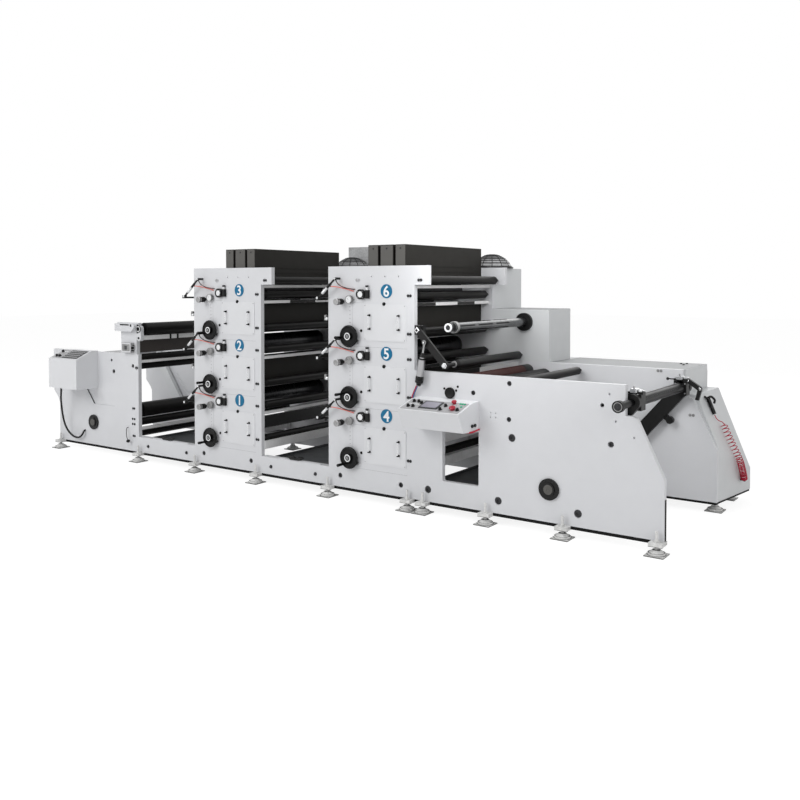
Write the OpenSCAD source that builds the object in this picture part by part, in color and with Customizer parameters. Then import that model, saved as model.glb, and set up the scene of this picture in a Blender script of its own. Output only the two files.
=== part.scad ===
// Six-unit stack-type flexographic printing press: unwinder, two three-unit
// towers and rewinder stand in one row between near and far side plates.
// X runs along the web from unwinder to rewinder, -Y is the operator side.

/* [Side frames] */
// Thickness of every side plate
plate_t = 40; // [28:1:60]
// Outer face of the near plates to the inner face of the far plates
frame_w = 1245; // [1000:5:1600]
// Height of the plates' lower edge above the floor
ground_gap = 88; // [80:1:130]

/* [Unwinder] */
// Length of the unwinder's side plates
unw_len = 1465; // [1300:5:1800]
// Height of the unwinder's top edge
unw_h = 1083; // [1000:1:1250]
// How far the unwinder's upper left edge stands out past its lower one
unw_bulge = 105; // [60:1:160]
// Height where that step begins
unw_step_z = 625; // [500:1:700]

/* [Web guide] */
// Width of the web guide's uprights
guide_w = 250; // [220:1:340]
// Height of the uprights above the unwinder
guide_h = 230; // [180:1:280]
// Length of the header boxes on the uprights
header_len = 345; // [330:1:460]
// Height of the header boxes
header_h = 92; // [70:1:120]
// Diameter of the web guide's top roller
guide_roller_d = 124; // [90:1:140]

/* [Bays and rails] */
// Open bay between unwinder and tower 1
bay1_len = 843; // [700:5:1100]
// Open bay between tower 1 and tower 2
bay2_len = 795; // [700:5:1100]
// Height of the rails that join the frames
rail_h = 155; // [110:1:200]
// Width of the rails' top flange
rail_flange_w = 70; // [50:1:100]
// Height of the drip trays' floor above the ground
tray_z = 190; // [150:1:215]
// Sheet thickness of the drip trays
tray_t = 5; // [3:0.5:8]

/* [Towers] */
// Width of each tower's side plates
tower_w = 890; // [860:5:1000]
// How far the tower's cap stands out over the rewinder side
cap_out = 132; // [80:1:180]
// Height of the tower's top edge
tower_h = 1950; // [1940:1:2050]
// Height of the cap's stepped part
cap_h = 154; // [120:1:200]
// Height between one printing unit and the next
unit_pitch = 508; // [500:1:520]
// Height of the top unit's number plate
unit_top_z = 1744; // [1735:1:1755]

/* [Printing cylinders] */
// Diameter of the impression cylinders
impression_d = 178; // [150:1:180]
// Diameter of the plate cylinders
plate_cyl_d = 134; // [110:1:136]
// Diameter of the anilox rollers
anilox_d = 116; // [90:1:120]
// Diameter of the metering rollers in the ink pans
metering_d = 54; // [40:1:60]
// Diameter of the cylinders' journals
cyl_journal_d = 36; // [24:1:44]
// Gap between the cylinders with the impression thrown off
throw_off_gap = 1.5; // [1:0.5:4]

/* [Guide rollers] */
// Diameter of the web's guide rollers
roller_d = 72; // [56:1:78]
// Diameter of the guide rollers' journals
roller_journal_d = 24; // [16:1:32]
// Length of the cone at each end of a guide roller
roller_cone = 38; // [20:1:50]
// Length of journal that shows between roller and side plate
journal_len = 26; // [18:1:40]

/* [Drying hoods] */
// Width of a drying hood along the web
hood_w = 378; // [340:1:380]
// Height of a drying hood
hood_h = 250; // [220:1:254]
// Gap between a hood and the tower's right edge
hood_gap = 115; // [100:1:117]
// Underside of the top hood
hood_top_z = 1873; // [1868:1:1880]
// Width of the slots that part a hood's end into modules
hood_slot_w = 22; // [12:1:30]

/* [Unit controls] */
// Diameter of the handwheels
wheel_d = 186; // [160:1:196]
// Diameter of the handwheels' rim section
wheel_rim_d = 20; // [14:1:24]
// Diameter of the handwheel's shaft
wheel_shaft_d = 24; // [18:1:28]
// Running clearance of a shaft in its bore, on the radius
shaft_clear = 0.4; // [0.3:0.1:0.8]
// Diameter of the unit number discs
disc_d = 114; // [90:1:120]
// Width of the access doors
door_w = 424; // [380:1:426]
// Height of the access doors
door_h = 300; // [260:1:300]
// Thickness of the access doors
door_t = 5; // [3:0.5:8]
// Length of the doors' bow handles
handle_len = 112; // [90:1:140]

/* [Rewinder] */
// Length of the rewinder's side plates at the floor
rew_len = 2017; // [1950:5:2200]
// How far the ledge side stands out past the rewinder's top edge
rew_step = 273; // [250:1:280]
// Height of the rewinder's top edge
rew_h = 1117; // [1110:1:1130]
// Height of the ledge below the winding shaft
ledge_z = 906; // [890:1:908]
// Height where the slanted edge meets the upright end
knee_z = 497; // [440:1:520]
// Width of the window in the near plate
window_w = 326; // [280:1:330]
// Height of the window in the near plate
window_h = 430; // [360:1:440]

/* [Winding arms] */
// Radius of the winding shaft's path about the arms' pivot
arm_radius = 888; // [884:1:892]
// Width of the winding arms
arm_w = 112; // [90:1:120]
// Thickness of the winding arms
arm_t = 45; // [35:1:60]
// Diameter of the arms' pivot shaft
pivot_d = 90; // [70:1:100]
// Diameter of the winding shaft, for 76 mm reel cores
winding_d = 76; // [60:1:76]
// Diameter of the pivots' bearing covers
cover_d = 156; // [130:1:180]

/* [Tension arm] */
// Length of the tension arm from pivot to roller
tension_len = 370; // [350:1:385]
// Width of the tension arm
tension_w = 56; // [44:1:64]
// Thickness of the tension arm
tension_t = 22; // [16:1:28]
// Diameter of the tension cylinder's barrel
barrel_d = 58; // [44:1:64]
// Diameter of the tension cylinder's rod
rod_d = 18; // [14:1:22]
// Clearance of the open pivot between rod eye and arm pin, on the radius
eye_clear = 3; // [2.5:0.5:4]

/* [Reel spindle] */
// Diameter of the cantilever reel spindle, for 76 mm cores
spindle_d = 76; // [60:1:76]
// Height of the spindle's axis
spindle_z = 1466; // [1440:1:1480]
// Diameter of the spindle's bearing socket
socket_d = 158; // [120:1:180]

/* [Consoles] */
// Width of the main console
console_w = 548; // [460:1:560]
// How far the main console stands out from the plate
console_out = 295; // [240:1:330]
// Width of the unwinder's control box
box_w = 487; // [420:1:520]
// How far the unwinder's control box stands out from the plate
box_out = 260; // [220:1:300]

/* [Drive cabinets] */
// Depth of the towers' drive cabinets
tower_cab_depth = 565; // [450:5:600]
// Depth of the middle drive cabinet
mid_cab_depth = 440; // [380:5:500]
// Length of the middle drive cabinet
mid_cab_len = 570; // [500:5:640]
// Height of the middle drive cabinet's top
mid_cab_z = 1577; // [1560:1:1620]
// Depth of the low drive cabinet and its end cover
low_cab_depth = 645; // [610:5:700]
// How far the end cover flares out towards the back
end_flare = 95; // [60:1:120]
// Radius of the blower covers on the tower cabinets
dome_r = 190; // [150:1:200]
// Height of the blower covers
dome_h = 133; // [100:1:150]

/* [Levelling feet] */
// Side of the feet's square floor plates
foot_plate = 134; // [110:1:150]
// Diameter of the feet's round pads
pad_d = 118; // [90:1:124]
// Diameter of the feet's threaded studs
stud_d = 20; // [16:1:24]

/* [Hidden] */
$fn = 48;
eps = 0.01;

overall_len = unw_len + bay1_len + tower_w + bay2_len + tower_w + rew_len + end_flare;
overall_depth = console_out + frame_w + low_cab_depth;

// Left edges of the frames, from the unwinder to the rewinder
x_unw = -overall_len / 2;
x_bay1 = x_unw + unw_len;
x_t1 = x_bay1 + bay1_len;
x_bay2 = x_t1 + tower_w;
x_t2 = x_bay2 + bay2_len;
x_rew = x_t2 + tower_w;
x_rew_r = x_rew + rew_len;
tower_x = [x_t1, x_t2];
rew_top_len = rew_len - rew_step;

// Faces of the near and far plates
y_near = -overall_depth / 2 + console_out;
y_in = y_near + plate_t;
y_far = y_near + frame_w;
y_back = y_far + plate_t;
inner_w = y_far - y_in;

cap_z = tower_h - cap_h;
units = [0, 1, 2];

// Positions in a printing unit, from the tower's left edge and the unit's number plate
plate_cyl_x = 363;
plate_cyl_dz = -27;
nip = (impression_d + plate_cyl_d) / 2 + throw_off_gap;
impression_x = plate_cyl_x + nip * cos(10);
impression_dz = plate_cyl_dz + nip * sin(10);
ink_nip = (plate_cyl_d + anilox_d) / 2 + throw_off_gap;
anilox_x = plate_cyl_x - ink_nip * cos(20);
anilox_dz = plate_cyl_dz - ink_nip * sin(20);
meter_nip = (anilox_d + metering_d) / 2 + throw_off_gap;
metering_x = anilox_x - meter_nip * cos(12);
metering_dz = anilox_dz - meter_nip * sin(12);
wheel_x = 245;
wheel_dz = -377;
disc_x = tower_w - 275;
door_x = tower_w - door_w - 81;
door_dz = -407;
handle_x1 = door_x + 61;
handle_x2 = door_x + door_w - 68;
handle_dz = -254;
column_x = tower_w - 50;
hood_x = tower_w - hood_gap - hood_w;
upper_roller_dz = -36;
lower_roller_dz = -341;

function unit_z(k) = unit_top_z - k * unit_pitch;

// Winding arms: pivot, shaft and the angle between them
arm_pivot = [x_rew_r - 839, 328];
arm_angle = 48.4;
shaft_pos = [arm_pivot[0] + arm_radius * cos(arm_angle), arm_pivot[1] + arm_radius * sin(arm_angle)];
arm_gap = 18;
chuck_t = 84;
unw_pivot = [x_unw + 723, 328];
unw_arm_angle = 131.6;
unw_shaft_pos = [
    unw_pivot[0] + arm_radius * cos(unw_arm_angle) + 100,
    unw_h - 91
];

// Tension arm outside the near plate, and the air cylinder that leans under it
tension_pivot = [x_rew + 46, 1438];
tension_angle = -45.9;
tension_end = [
    tension_pivot[0] + tension_len * cos(tension_angle),
    tension_pivot[1] + tension_len * sin(tension_angle)
];
tension_gap = 8;
tension_y = y_near - tension_gap - tension_t;
tension_tube_d = 36;
tension_pin = [tension_pivot[0] + 81, tension_pivot[1] - 92];
cylinder_reach = [55, 331];
cylinder_tilt = atan2(cylinder_reach[0], cylinder_reach[1]);
cylinder_foot = tension_pin - cylinder_reach;
cylinder_y = y_near - 46;
barrel_base = 64;
barrel_h = 133;

spindle_x = x_rew + 332;

foot_y = y_near - 32;
far_foot_y = y_back + 32;

near_foot_x = [
    x_unw + 165, x_bay1 + 30, x_t1 + 30, x_bay2 - 45, x_t2 + 12,
    x_rew - 50, x_rew + 97, x_rew + 667, x_rew_r - 720, x_rew_r - 40
];

// Free cords, routed by hand, each from the face it leaves
cable_d = 20;
cable_from = [x_unw + 364.5, y_near, unw_h - 383.4];
cable_turns = [
    [0, -152.5, -0.3], [0, -152.5, -40], [-7, -150.5, -90], [-25, -140.5, -140], [-43, -123.5, -200],
    [-57, -108.5, -260], [-63, -95.5, -320], [-61, -84.5, -380], [-49, -72.5, -438], [-25, -60.5, -488],
    [11, -49.5, -526], [57, -42.5, -550], [107, -38.5, -558], [155, -34.5, -548], [189, -32.5, -522],
    [201, -22.5, -492], [201, -8.5, -478], [201, -0.4, -476]
];
cable_path = [for (p = cable_turns) cable_from + p];
hose_d = 6.6;
coil_d = 58;
gun_d = 30;
end_corner = [x_rew_r, y_back, 0];
gun_foot = end_corner + [-84.5, 181.5, 752];
lead_turns = [
    [-83.5, 181.5, 747], [-76.5, 181.5, 730], [-66.5, 186.5, 713], [-53.5, 198.5, 699],
    [-41.5, 214.5, 691], [-33.5, 232.5, 684], [-31.5, 245.5, 672]
];
lead_path = [for (p = lead_turns) end_corner + p];
coil_turns = [
    [-31.5, 247.5, 669], [22.5, 267.5, 535], [81.5, 297.5, 390], [94.5, 342.5, 300], [97.5, 397.5, 211]
];
coil_path = [for (p = coil_turns) end_corner + p];

// ---- shared shapes ----

// Extrudes an X-Z outline from y over the thickness t
module xz_plate(y, t) {
    translate([0, y + t, 0]) rotate([90, 0, 0]) linear_extrude(t) children();
}

// Extrudes a Y-Z outline from x over the length len
module yz_prism(x, len) {
    translate([x, 0, 0]) rotate([90, 0, 90]) linear_extrude(len) children();
}

module rod_y(x, y, z, len, r) {
    translate([x, y, z]) rotate([-90, 0, 0]) cylinder(h = len, r = r);
}

module rounded_rect(w, h, r) {
    translate([r, 0]) square([w - 2 * r, h]);
    translate([0, r]) square([w, h - 2 * r]);
    for (x = [r, w - r], y = [r, h - r]) translate([x, y]) circle(r);
}

// A beam between two points of the X-Z plane, with round ends
module xz_link(a, b, w) {
    dx = b[0] - a[0];
    dz = b[1] - a[1];
    translate(a) circle(d = w);
    translate(b) circle(d = w);
    translate(a) rotate(atan2(dz, dx)) translate([0, -w / 2]) square([norm([dx, dz]), w]);
}

// A roller seated between the side plates, with coned ends and journals
module guide_roller(x, z, d = roller_d, cone = roller_cone) {
    body = inner_w - 2 * journal_len - 2 * cone;
    translate([x, y_in, z]) rotate([-90, 0, 0]) {
        cylinder(h = inner_w, d = roller_journal_d);
        translate([0, 0, journal_len]) cylinder(h = cone, d1 = d * 0.5, d2 = d);
        translate([0, 0, journal_len + cone]) cylinder(h = body, d = d);
        translate([0, 0, journal_len + cone + body]) cylinder(h = cone, d1 = d, d2 = d * 0.5);
    }
}

// A plain cylinder with stepped journals, seated between the side plates
module press_cylinder(x, z, d, journal_d = cyl_journal_d, end = 60) {
    translate([x, y_in, z]) rotate([-90, 0, 0]) {
        cylinder(h = inner_w, d = journal_d);
        translate([0, 0, end - 12])
            cylinder(h = inner_w - 2 * (end - 12), d = min(d - 10, journal_d * 1.6));
        translate([0, 0, end]) cylinder(h = inner_w - 2 * end, d = d);
    }
}

module tie_bar(x, z, w, h) {
    translate([x - w / 2, y_in, z - h / 2]) cube([w, inner_w, h]);
}

// Blind round recesses in a plate's outer face, each [x, z, r]
module recesses(list, y, depth) {
    for (h = list) translate([0, y, 0]) rod_y(h[0], -eps, h[1], depth + eps, h[2]);
}

function bezier3(a, b, c, t) = (1 - t) * (1 - t) * a + 2 * t * (1 - t) * b + t * t * c;

// ---- tubes swept along points ----

function unit(v) = v / norm(v);
function tangent(p, i) =
    i == 0 ? unit(p[1] - p[0])
    : i == len(p) - 1 ? unit(p[i] - p[i - 1])
    : unit(p[i + 1] - p[i - 1]);
function side_of(t, ref) = unit(cross(t, ref));
function ring(c, t, r, n, ref) =
    let (u = side_of(t, ref), v = cross(t, u))
    [for (k = [0:n - 1]) c + r * cos(360 * k / n) * u + r * sin(360 * k / n) * v];

// A smooth path through the points, each span cut into m steps
function catmull(a, b, c, d, t) =
    0.5 * (2 * b + (c - a) * t + (2 * a - 5 * b + 4 * c - d) * t * t + (3 * b - a - 3 * c + d) * t * t * t);
function smooth_path(p, m) =
    let (n = len(p))
    concat(
        [for (i = [0:n - 2], j = [0:m - 1])
            catmull(p[max(i - 1, 0)], p[i], p[i + 1], p[min(i + 2, n - 1)], j / m)],
        [p[n - 1]]
    );

module tube(path, r, n = 8, ref = [0.31, 0.95, 0.05]) {
    last = len(path) - 1;
    points = [for (i = [0:last]) each ring(path[i], tangent(path, i), r, n, ref)];
    sides = [
        for (i = [0:last - 1], k = [0:n - 1])
            [i * n + k, i * n + (k + 1) % n, (i + 1) * n + (k + 1) % n, (i + 1) * n + k]
    ];
    start = [for (k = [n - 1:-1:0]) k];
    finish = [for (k = [0:n - 1]) last * n + k];
    polyhedron(points, concat(sides, [start], [finish]), convexity = 6);
}

// ---- unwinder ----

unw_corner = 48;
unw_holes = [
    [x_unw + 1029, unw_h - 78, 15], [x_bay1 - 400, unw_h - 193, 22], [x_bay1 - 87, unw_h - 121, 20],
    [x_bay1 - 27, unw_h - 137, 20], [x_bay1 - 78, 526, 24], [x_bay1 - 74, 245, 24],
    [x_bay1 - 174, 178, 16]
];

module unwinder_outline() {
    polygon([
        [x_unw, unw_h], [x_unw, unw_step_z], [x_unw + 78, unw_step_z - 77],
        [x_unw + unw_bulge, unw_step_z - 77 - unw_corner], [x_unw + unw_bulge, ground_gap],
        [x_bay1, ground_gap], [x_bay1, unw_h]
    ]);
}

// The bent seam where the unwinder plate's two leaves meet
module unwinder_seam(y) {
    hw = 3.5;
    top = [x_unw + 560, 752];
    elbow = [x_unw + 748, 527];
    end = [x_unw + 1070, 527];
    translate([0, y, 0]) xz_plate(-1, 5) polygon([
        top + [hw, 0], elbow + [hw / 2, hw], end + [0, hw],
        end - [0, hw], elbow - [hw / 2, hw], top - [hw, 0]
    ]);
}

module unwinder_near_plate() {
    color("gainsboro") difference() {
        xz_plate(y_near, plate_t) unwinder_outline();
        recesses(unw_holes, y_near, 14);
        recesses([for (dx = [-16, 16], dz = [-26, 26]) [x_bay1 - 80 + dx, 392 + dz, 5]], y_near, 10);
        unwinder_seam(y_near);
    }
}

module unwinder_far_plate() {
    color("gainsboro") difference() {
        xz_plate(y_far, plate_t) unwinder_outline();
        unwinder_seam(y_far);
    }
}

module unwinder_rollers() {
    color("#2c2b2a") {
        guide_roller(x_unw + 1029, unw_h - 78, 64);
        guide_roller(x_bay1 - 57, unw_h - 31, 62);
        guide_roller(x_bay1 - 87, unw_h - 125, 72);
        press_cylinder(x_bay1 - 78, 505, 150, end = 40);
        press_cylinder(x_bay1 - 65, 385, 78, end = 36);
        guide_roller(x_bay1 - 74, 262, 60);
    }
}

// An arm pair on a cross shaft, for lifting the reel
module arm_pair(pivot, tip, y1, y2) {
    for (y = [y1, y2 - arm_t]) {
        xz_plate(y, arm_t) difference() {
            xz_link(pivot, tip, arm_w);
            translate(tip) circle(d = winding_d * 0.6);
        }
    }
    rod_y(pivot[0], y_in, pivot[1], inner_w, pivot_d / 2);
}

module unwinder_reel_arms() {
    color("#262626") arm_pair(unw_pivot, unw_shaft_pos, y_in + arm_gap, y_far - arm_gap);
}

module unwind_shaft() {
    y1 = y_in + arm_gap;
    color("silver") translate([unw_shaft_pos[0], 0, unw_shaft_pos[1]]) {
        rod_y(0, y1, 0, y_far - arm_gap - y1, winding_d * 0.3);
        rod_y(0, y1 + arm_t, 0, y_far - arm_gap - y1 - 2 * arm_t, winding_d / 2);
    }
}

// A box with a sloped panel, its profile given in Y-Z from the plate
module console_body(x, w, out, out_low, panel_y, z0, z_low, z_front, z_panel, z_back) {
    yz_prism(x, w) polygon([
        [y_near, z0], [y_near - out_low, z_low], [y_near - out, z_front],
        [y_near - panel_y, z_panel], [y_near, z_back]
    ]);
}

box_x = x_unw + 310;
box_z = unw_h - 383.4;
box_front_z = unw_h - 73;
box_panel_z = unw_h + 11;

module unwinder_control_box() {
    color("gainsboro") difference() {
        console_body(box_x, box_w, box_out, box_out, 76, box_z, box_z, box_front_z, box_panel_z, box_panel_z);
        // Panel recess that follows the slope
        yz_prism(box_x + 16, box_w - 32) polygon([
            [y_near - box_out + 14, box_front_z + 6], [y_near - 84, box_panel_z + 4],
            [y_near - 84, box_panel_z + 100], [y_near - box_out + 14, box_panel_z + 100]
        ]);
    }
}

module control_box_cable() {
    color("#171717") tube(smooth_path(cable_path, 2), cable_d / 2, 10);
}

// ---- web guide ----

guide_x = x_bay1 - guide_w - 24;
header_x = x_bay1 - header_len + 5;
header_z = unw_h + guide_h;
header_t = 46;
top_roller_x = x_bay1 + 6;
top_roller_z = header_z + 30;
guide_bar_x = x_bay1 + 10;
guide_bar_z = header_z - 62;

// One upright with its header, the roller's bearing arm and the header's cover
module guide_side(y, outward) {
    xz_plate(y, plate_t) {
        translate([guide_x, unw_h]) square([guide_w, guide_h + eps]);
        difference() {
            translate([header_x, header_z]) square([header_len, header_h]);
            translate([header_x, header_z]) rotate(45) square([40, 90], center = true);
        }
        xz_link([top_roller_x, top_roller_z], [guide_bar_x, guide_bar_z], 64);
    }
    x1 = header_x + 20;
    x2 = header_x + header_len - 14;
    z1 = header_z + 4;
    z2 = header_z + header_h - 10;
    xz_plate(outward < 0 ? y - header_t : y + plate_t, header_t)
        polygon([
            [x1, z1 + 10], [x1 + 10, z1], [x2 - 44, z1], [x2, z1 + 40],
            [x2, z2 - 16], [x2 - 26, z2], [x1, z2]
        ]);
}

module web_guide_frame() {
    color("lightgray") {
        guide_side(y_near, -1);
        guide_side(y_far, 1);
    }
}

// Guard sheet between the uprights
module web_guide_sheet() {
    color("#504b48") translate([guide_x + 190, y_in, unw_h + 12]) cube([12, inner_w, guide_h - 30]);
}

module web_guide_rollers() {
    color("#2c2b2a") press_cylinder(top_roller_x, top_roller_z, guide_roller_d, roller_journal_d, 28);
}

module web_guide_display() {
    color("darkgray") translate([guide_x + 60, y_near - 42, unw_h + 18]) cube([150, 42, 100]);
}

// ---- bays ----

module base_rails() {
    z1 = ground_gap + rail_h;
    color("gainsboro") for (bay = [[x_bay1, bay1_len], [x_bay2, bay2_len]]) {
        for (side = [0, 1]) {
            y = side == 0 ? y_near : y_far;
            flange_y = side == 0 ? y_near : y_back - rail_flange_w;
            translate([bay[0], y, ground_gap]) cube([bay[1], plate_t, rail_h]);
            translate([bay[0], flange_y, z1 - 8]) cube([bay[1], rail_flange_w, 8]);
        }
        translate([bay[0] + 0.25 * bay[1], y_near + 8, z1]) cube([0.62 * bay[1], 26, 7]);
    }
}

module tray_latches() {
    z = ground_gap + rail_h + 7;
    color("#1b1b1b") for (x = [x_bay1 + 0.5 * bay1_len, x_bay2 + 0.5 * bay2_len]) {
        xz_plate(y_near + 2, 38) difference() {
            polygon([
                [x - 86, z + 22], [x - 52, z], [x + 52, z],
                [x + 86, z + 22], [x + 60, z + 30], [x - 60, z + 30]
            ]);
            translate([x, z + 34]) scale([1, 0.42]) circle(r = 42);
        }
    }
}

module tray(x, len, y1, y2) {
    lip = 28;
    translate([x, y1, tray_z]) difference() {
        cube([len, y2 - y1, lip]);
        translate([tray_t, tray_t, tray_t]) cube([len - 2 * tray_t, y2 - y1 - 2 * tray_t, lip]);
    }
}

module drip_trays() {
    y1 = y_in;
    y2 = y_far;
    color("#4a4a4a") {
        tray(x_bay1 + 4, bay1_len - 8, y1, y2);
        tray(x_bay2 + 4, bay2_len - 8, y1, y2);
        tray(x_rew + 60, 900, y1, y2);
    }
}

// A round machine foot on its floor plate
module machine_foot() {
    translate([-foot_plate / 2, -foot_plate / 2, 0]) cube([foot_plate, foot_plate, 8]);
    translate([0, 0, 8]) cylinder(h = 14, d = pad_d);
    translate([0, 0, 22]) cylinder(h = 18, d1 = pad_d * 0.86, d2 = pad_d * 0.5);
}

// One levelling foot; its flange seats under the plate and its stud stands in front of it
flange = [96, 70, 26];
module levelling_foot(x, y, side) {
    stud_up = 74;
    under = side < 0 ? -36 : -flange[1];
    translate([x, y, 0]) {
        machine_foot();
        translate([0, 0, 40 - eps]) cylinder(h = ground_gap - 40, d = stud_d * 1.3);
        translate([-flange[0] / 2, under, ground_gap - flange[2]]) cube([flange[0], flange[1] + 36, flange[2]]);
        translate([0, 0, ground_gap]) cylinder(h = 14, d = stud_d * 1.6, $fn = 6);
        translate([0, 0, ground_gap]) cylinder(h = stud_up, d = stud_d);
    }
}

// A foot that screws into a cabinet's floor
module cabinet_foot(x, y) {
    translate([x, y, 0]) {
        machine_foot();
        translate([0, 0, 40 - eps]) cylinder(h = ground_gap - 40 + eps, d = pad_d * 0.4);
    }
}

module levelling_feet() {
    color("lightgray") {
        for (x = near_foot_x) levelling_foot(x, foot_y, -1);
        for (x = [near_foot_x[0], near_foot_x[1]]) levelling_foot(x, far_foot_y, 1);
        for (i = [2:9]) cabinet_foot(near_foot_x[i], y_back + 60);
        for (x = [x_t1 + 120, x_bay2 - 120, x_t2 + 120, x_rew - 120])
            cabinet_foot(x, y_far + tower_cab_depth - 90);
        for (x = [x_rew + 700, x_rew_r - 60]) cabinet_foot(x, y_far + low_cab_depth - 90);
    }
}

module bearing_covers() {
    color("#1d1d1d") for (p = [unw_pivot, arm_pivot]) {
        translate([p[0], y_near, p[1]]) rotate([90, 0, 0]) {
            cylinder(h = 16, d = cover_d);
            cylinder(h = 24, d = cover_d * 0.62);
        }
    }
    color("#1d1d1d") translate([unw_pivot[0], y_back, unw_pivot[1]]) rotate([-90, 0, 0]) {
        cylinder(h = 16, d = cover_d);
        cylinder(h = 24, d = cover_d * 0.62);
    }
}

// ---- towers ----

module tower_outline(x) {
    polygon([
        [x, ground_gap], [x + tower_w, ground_gap], [x + tower_w, cap_z],
        [x + tower_w + cap_out, cap_z], [x + tower_w + cap_out, tower_h], [x, tower_h]
    ]);
}

// Bolt heads and openings that every unit has in its near plate, each [x, z, r]
function unit_holes(x) = [
    for (k = units) each [
        [x + 354, unit_z(k) - 328, 11], [x + 591, unit_z(k) - 115, 15],
        [x + column_x, unit_z(k) + upper_roller_dz, 18], [x + column_x, unit_z(k) + lower_roller_dz, 18]
    ]
];
function cap_holes(x) = concat(
    [[x + 319, tower_h - 116, 18], [x + tower_w + 52, tower_h - 116, 18]],
    [for (i = [0:2]) [x + 460 + i * 138, tower_h - 86, 6]],
    [[x + 126, 184, 22], [x + tower_w - 134, 184, 22]]
);

module tower_near_plate(x) {
    difference() {
        xz_plate(y_near, plate_t) tower_outline(x);
        recesses(concat(unit_holes(x), cap_holes(x)), y_near, 14);
        for (k = units)
            rod_y(x + wheel_x, y_near - eps, unit_z(k) + wheel_dz, 34, wheel_shaft_d / 2 + shaft_clear);
    }
}

// Block at the plate's right edge that carries the tension arm's torque tube
module tension_bearing(y, lap) {
    xz_plate(y, plate_t) difference() {
        translate([x_rew - lap, tension_pivot[1] - 38]) square([tension_pivot[0] + 34 + lap - x_rew, 76]);
        translate(tension_pivot) circle(r = tension_tube_d / 2 + shaft_clear);
    }
}

module tower_1_near_plate() {
    color("gainsboro") tower_near_plate(x_t1);
}

module tower_2_near_plate() {
    color("gainsboro") {
        tower_near_plate(x_t2);
        tension_bearing(y_near, 1);
    }
}

// Stepped bearing plate on the far plate's inner face
module bearing_plate(x) {
    xz_plate(y_far - 24, 24) difference() {
        translate([x + 300, 350]) square([350, 330]);
        translate([x + 300 - eps, 590]) square([60, 91]);
        translate([x + 300, 440]) circle(r = 26);
        for (dz = [40, 300]) translate([x + 610, 350 + dz]) circle(r = 9);
    }
}

module tower_1_far_plate() {
    color("gainsboro") {
        xz_plate(y_far, plate_t) tower_outline(x_t1);
        bearing_plate(x_t1);
    }
}

module tower_2_far_plate() {
    color("gainsboro") {
        xz_plate(y_far, plate_t) tower_outline(x_t2);
        bearing_plate(x_t2);
        tension_bearing(y_far - plate_t, 20);
    }
}

module each_unit() {
    for (x = tower_x, k = units) translate([x, 0, unit_z(k)]) children();
}

module impression_cylinders() {
    color("silver") each_unit() press_cylinder(impression_x, impression_dz, impression_d);
}

module plate_cylinders() {
    color("dimgray") each_unit() press_cylinder(plate_cyl_x, plate_cyl_dz, plate_cyl_d);
}

module anilox_rollers() {
    color("#3a3a3c") each_unit() press_cylinder(anilox_x, anilox_dz, anilox_d);
}

module metering_rollers() {
    color("#222222") each_unit() press_cylinder(metering_x, metering_dz, metering_d, 22, 60);
}

// A trough under the metering roller, open at the top
module ink_pan() {
    r = metering_d / 2 + 16;
    rim_dz = -26;
    wall = 3;
    half = inner_w / 2 - 50;
    translate([metering_x, y_in + inner_w / 2, metering_dz]) rotate([90, 0, 0]) {
        difference() {
            translate([0, 0, -half]) cylinder(h = 2 * half, r = r);
            translate([0, 0, -half + wall]) cylinder(h = 2 * half - 2 * wall, r = r - wall);
            translate([-r - 1, rim_dz, -half - 1]) cube([2 * r + 2, 2 * r, 2 * half + 2]);
        }
    }
    for (side = [-1, 1]) {
        y = side < 0 ? y_in : y_in + inner_w / 2 + half;
        translate([metering_x - 10, y, metering_dz - r + 2]) cube([20, 50, 14]);
    }
}

module ink_pans() {
    color("gray") each_unit() ink_pan();
}

module tower_guide_rollers() {
    color("#2c2b2a") {
        each_unit() {
            guide_roller(column_x, upper_roller_dz);
            guide_roller(column_x, lower_roller_dz);
        }
        for (x = tower_x) {
            guide_roller(x + tower_w + 52, tower_h - 116);
            guide_roller(x + 100, tower_h - 100);
        }
        for (x = tower_x, k = units) guide_roller(x + 70, unit_z(k) - 240, 60);
    }
}

module tie_bars() {
    color("silver") {
        tie_bar(x_bay1 - 31, unw_h - 76, 36, 26);
        tie_bar(x_bay1 - 45, 318, 60, 20);
        tie_bar(x_unw + 220, 300, 60, 80);
        tie_bar(x_bay1 - 345, 220, 80, 60);
        tie_bar(guide_bar_x, guide_bar_z, 20, 44);
        for (x = tower_x) {
            tie_bar(x + tower_w - 42, cap_z - 16, 40, 24);
            for (k = units) tie_bar(x + column_x - 2, unit_z(k) - 107, 36, 26);
            tie_bar(x + tower_w - 3, 336, 18, 74);
            tie_bar(x + tower_w - 20, 546, 26, 110);
            tie_bar(x + 52, 300, 60, 90);
        }
        tie_bar(x_rew + 26, 546, 40, 110);
        tie_bar(x_rew + 26, 336, 40, 74);
        tie_bar(x_rew + 700, 300, 60, 90);
        tie_bar(x_rew_r - 517, 240, 90, 60);
        tie_bar(x_rew + 262, rew_h - 30, 14, 42);
    }
}

// A drying hood: three blower modules side by side, with a nozzle ridge below
module drying_hood() {
    slot_depth = 60;
    len = inner_w - 6;
    module_w = hood_w * 0.27;
    translate([hood_x, y_in + 3, 0]) {
        difference() {
            cube([hood_w, len, hood_h]);
            for (x = [module_w, hood_w - module_w - hood_slot_w], y = [-eps, len - slot_depth])
                translate([x, y, 14]) cube([hood_slot_w, slot_depth + eps, hood_h]);
        }
        translate([hood_w * 0.2, 40, -16]) cube([hood_w * 0.6, len - 80, 16 + eps]);
        translate([hood_w, 30, hood_h * 0.12]) cube([5, len - 60, 10]);
        translate([hood_w, 30, hood_h * 0.3]) cube([5, len - 60, 6]);
    }
    for (y = [y_in, y_far - 3]) translate([hood_x + 30, y, 6]) cube([hood_w - 60, 3, 60]);
}

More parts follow.
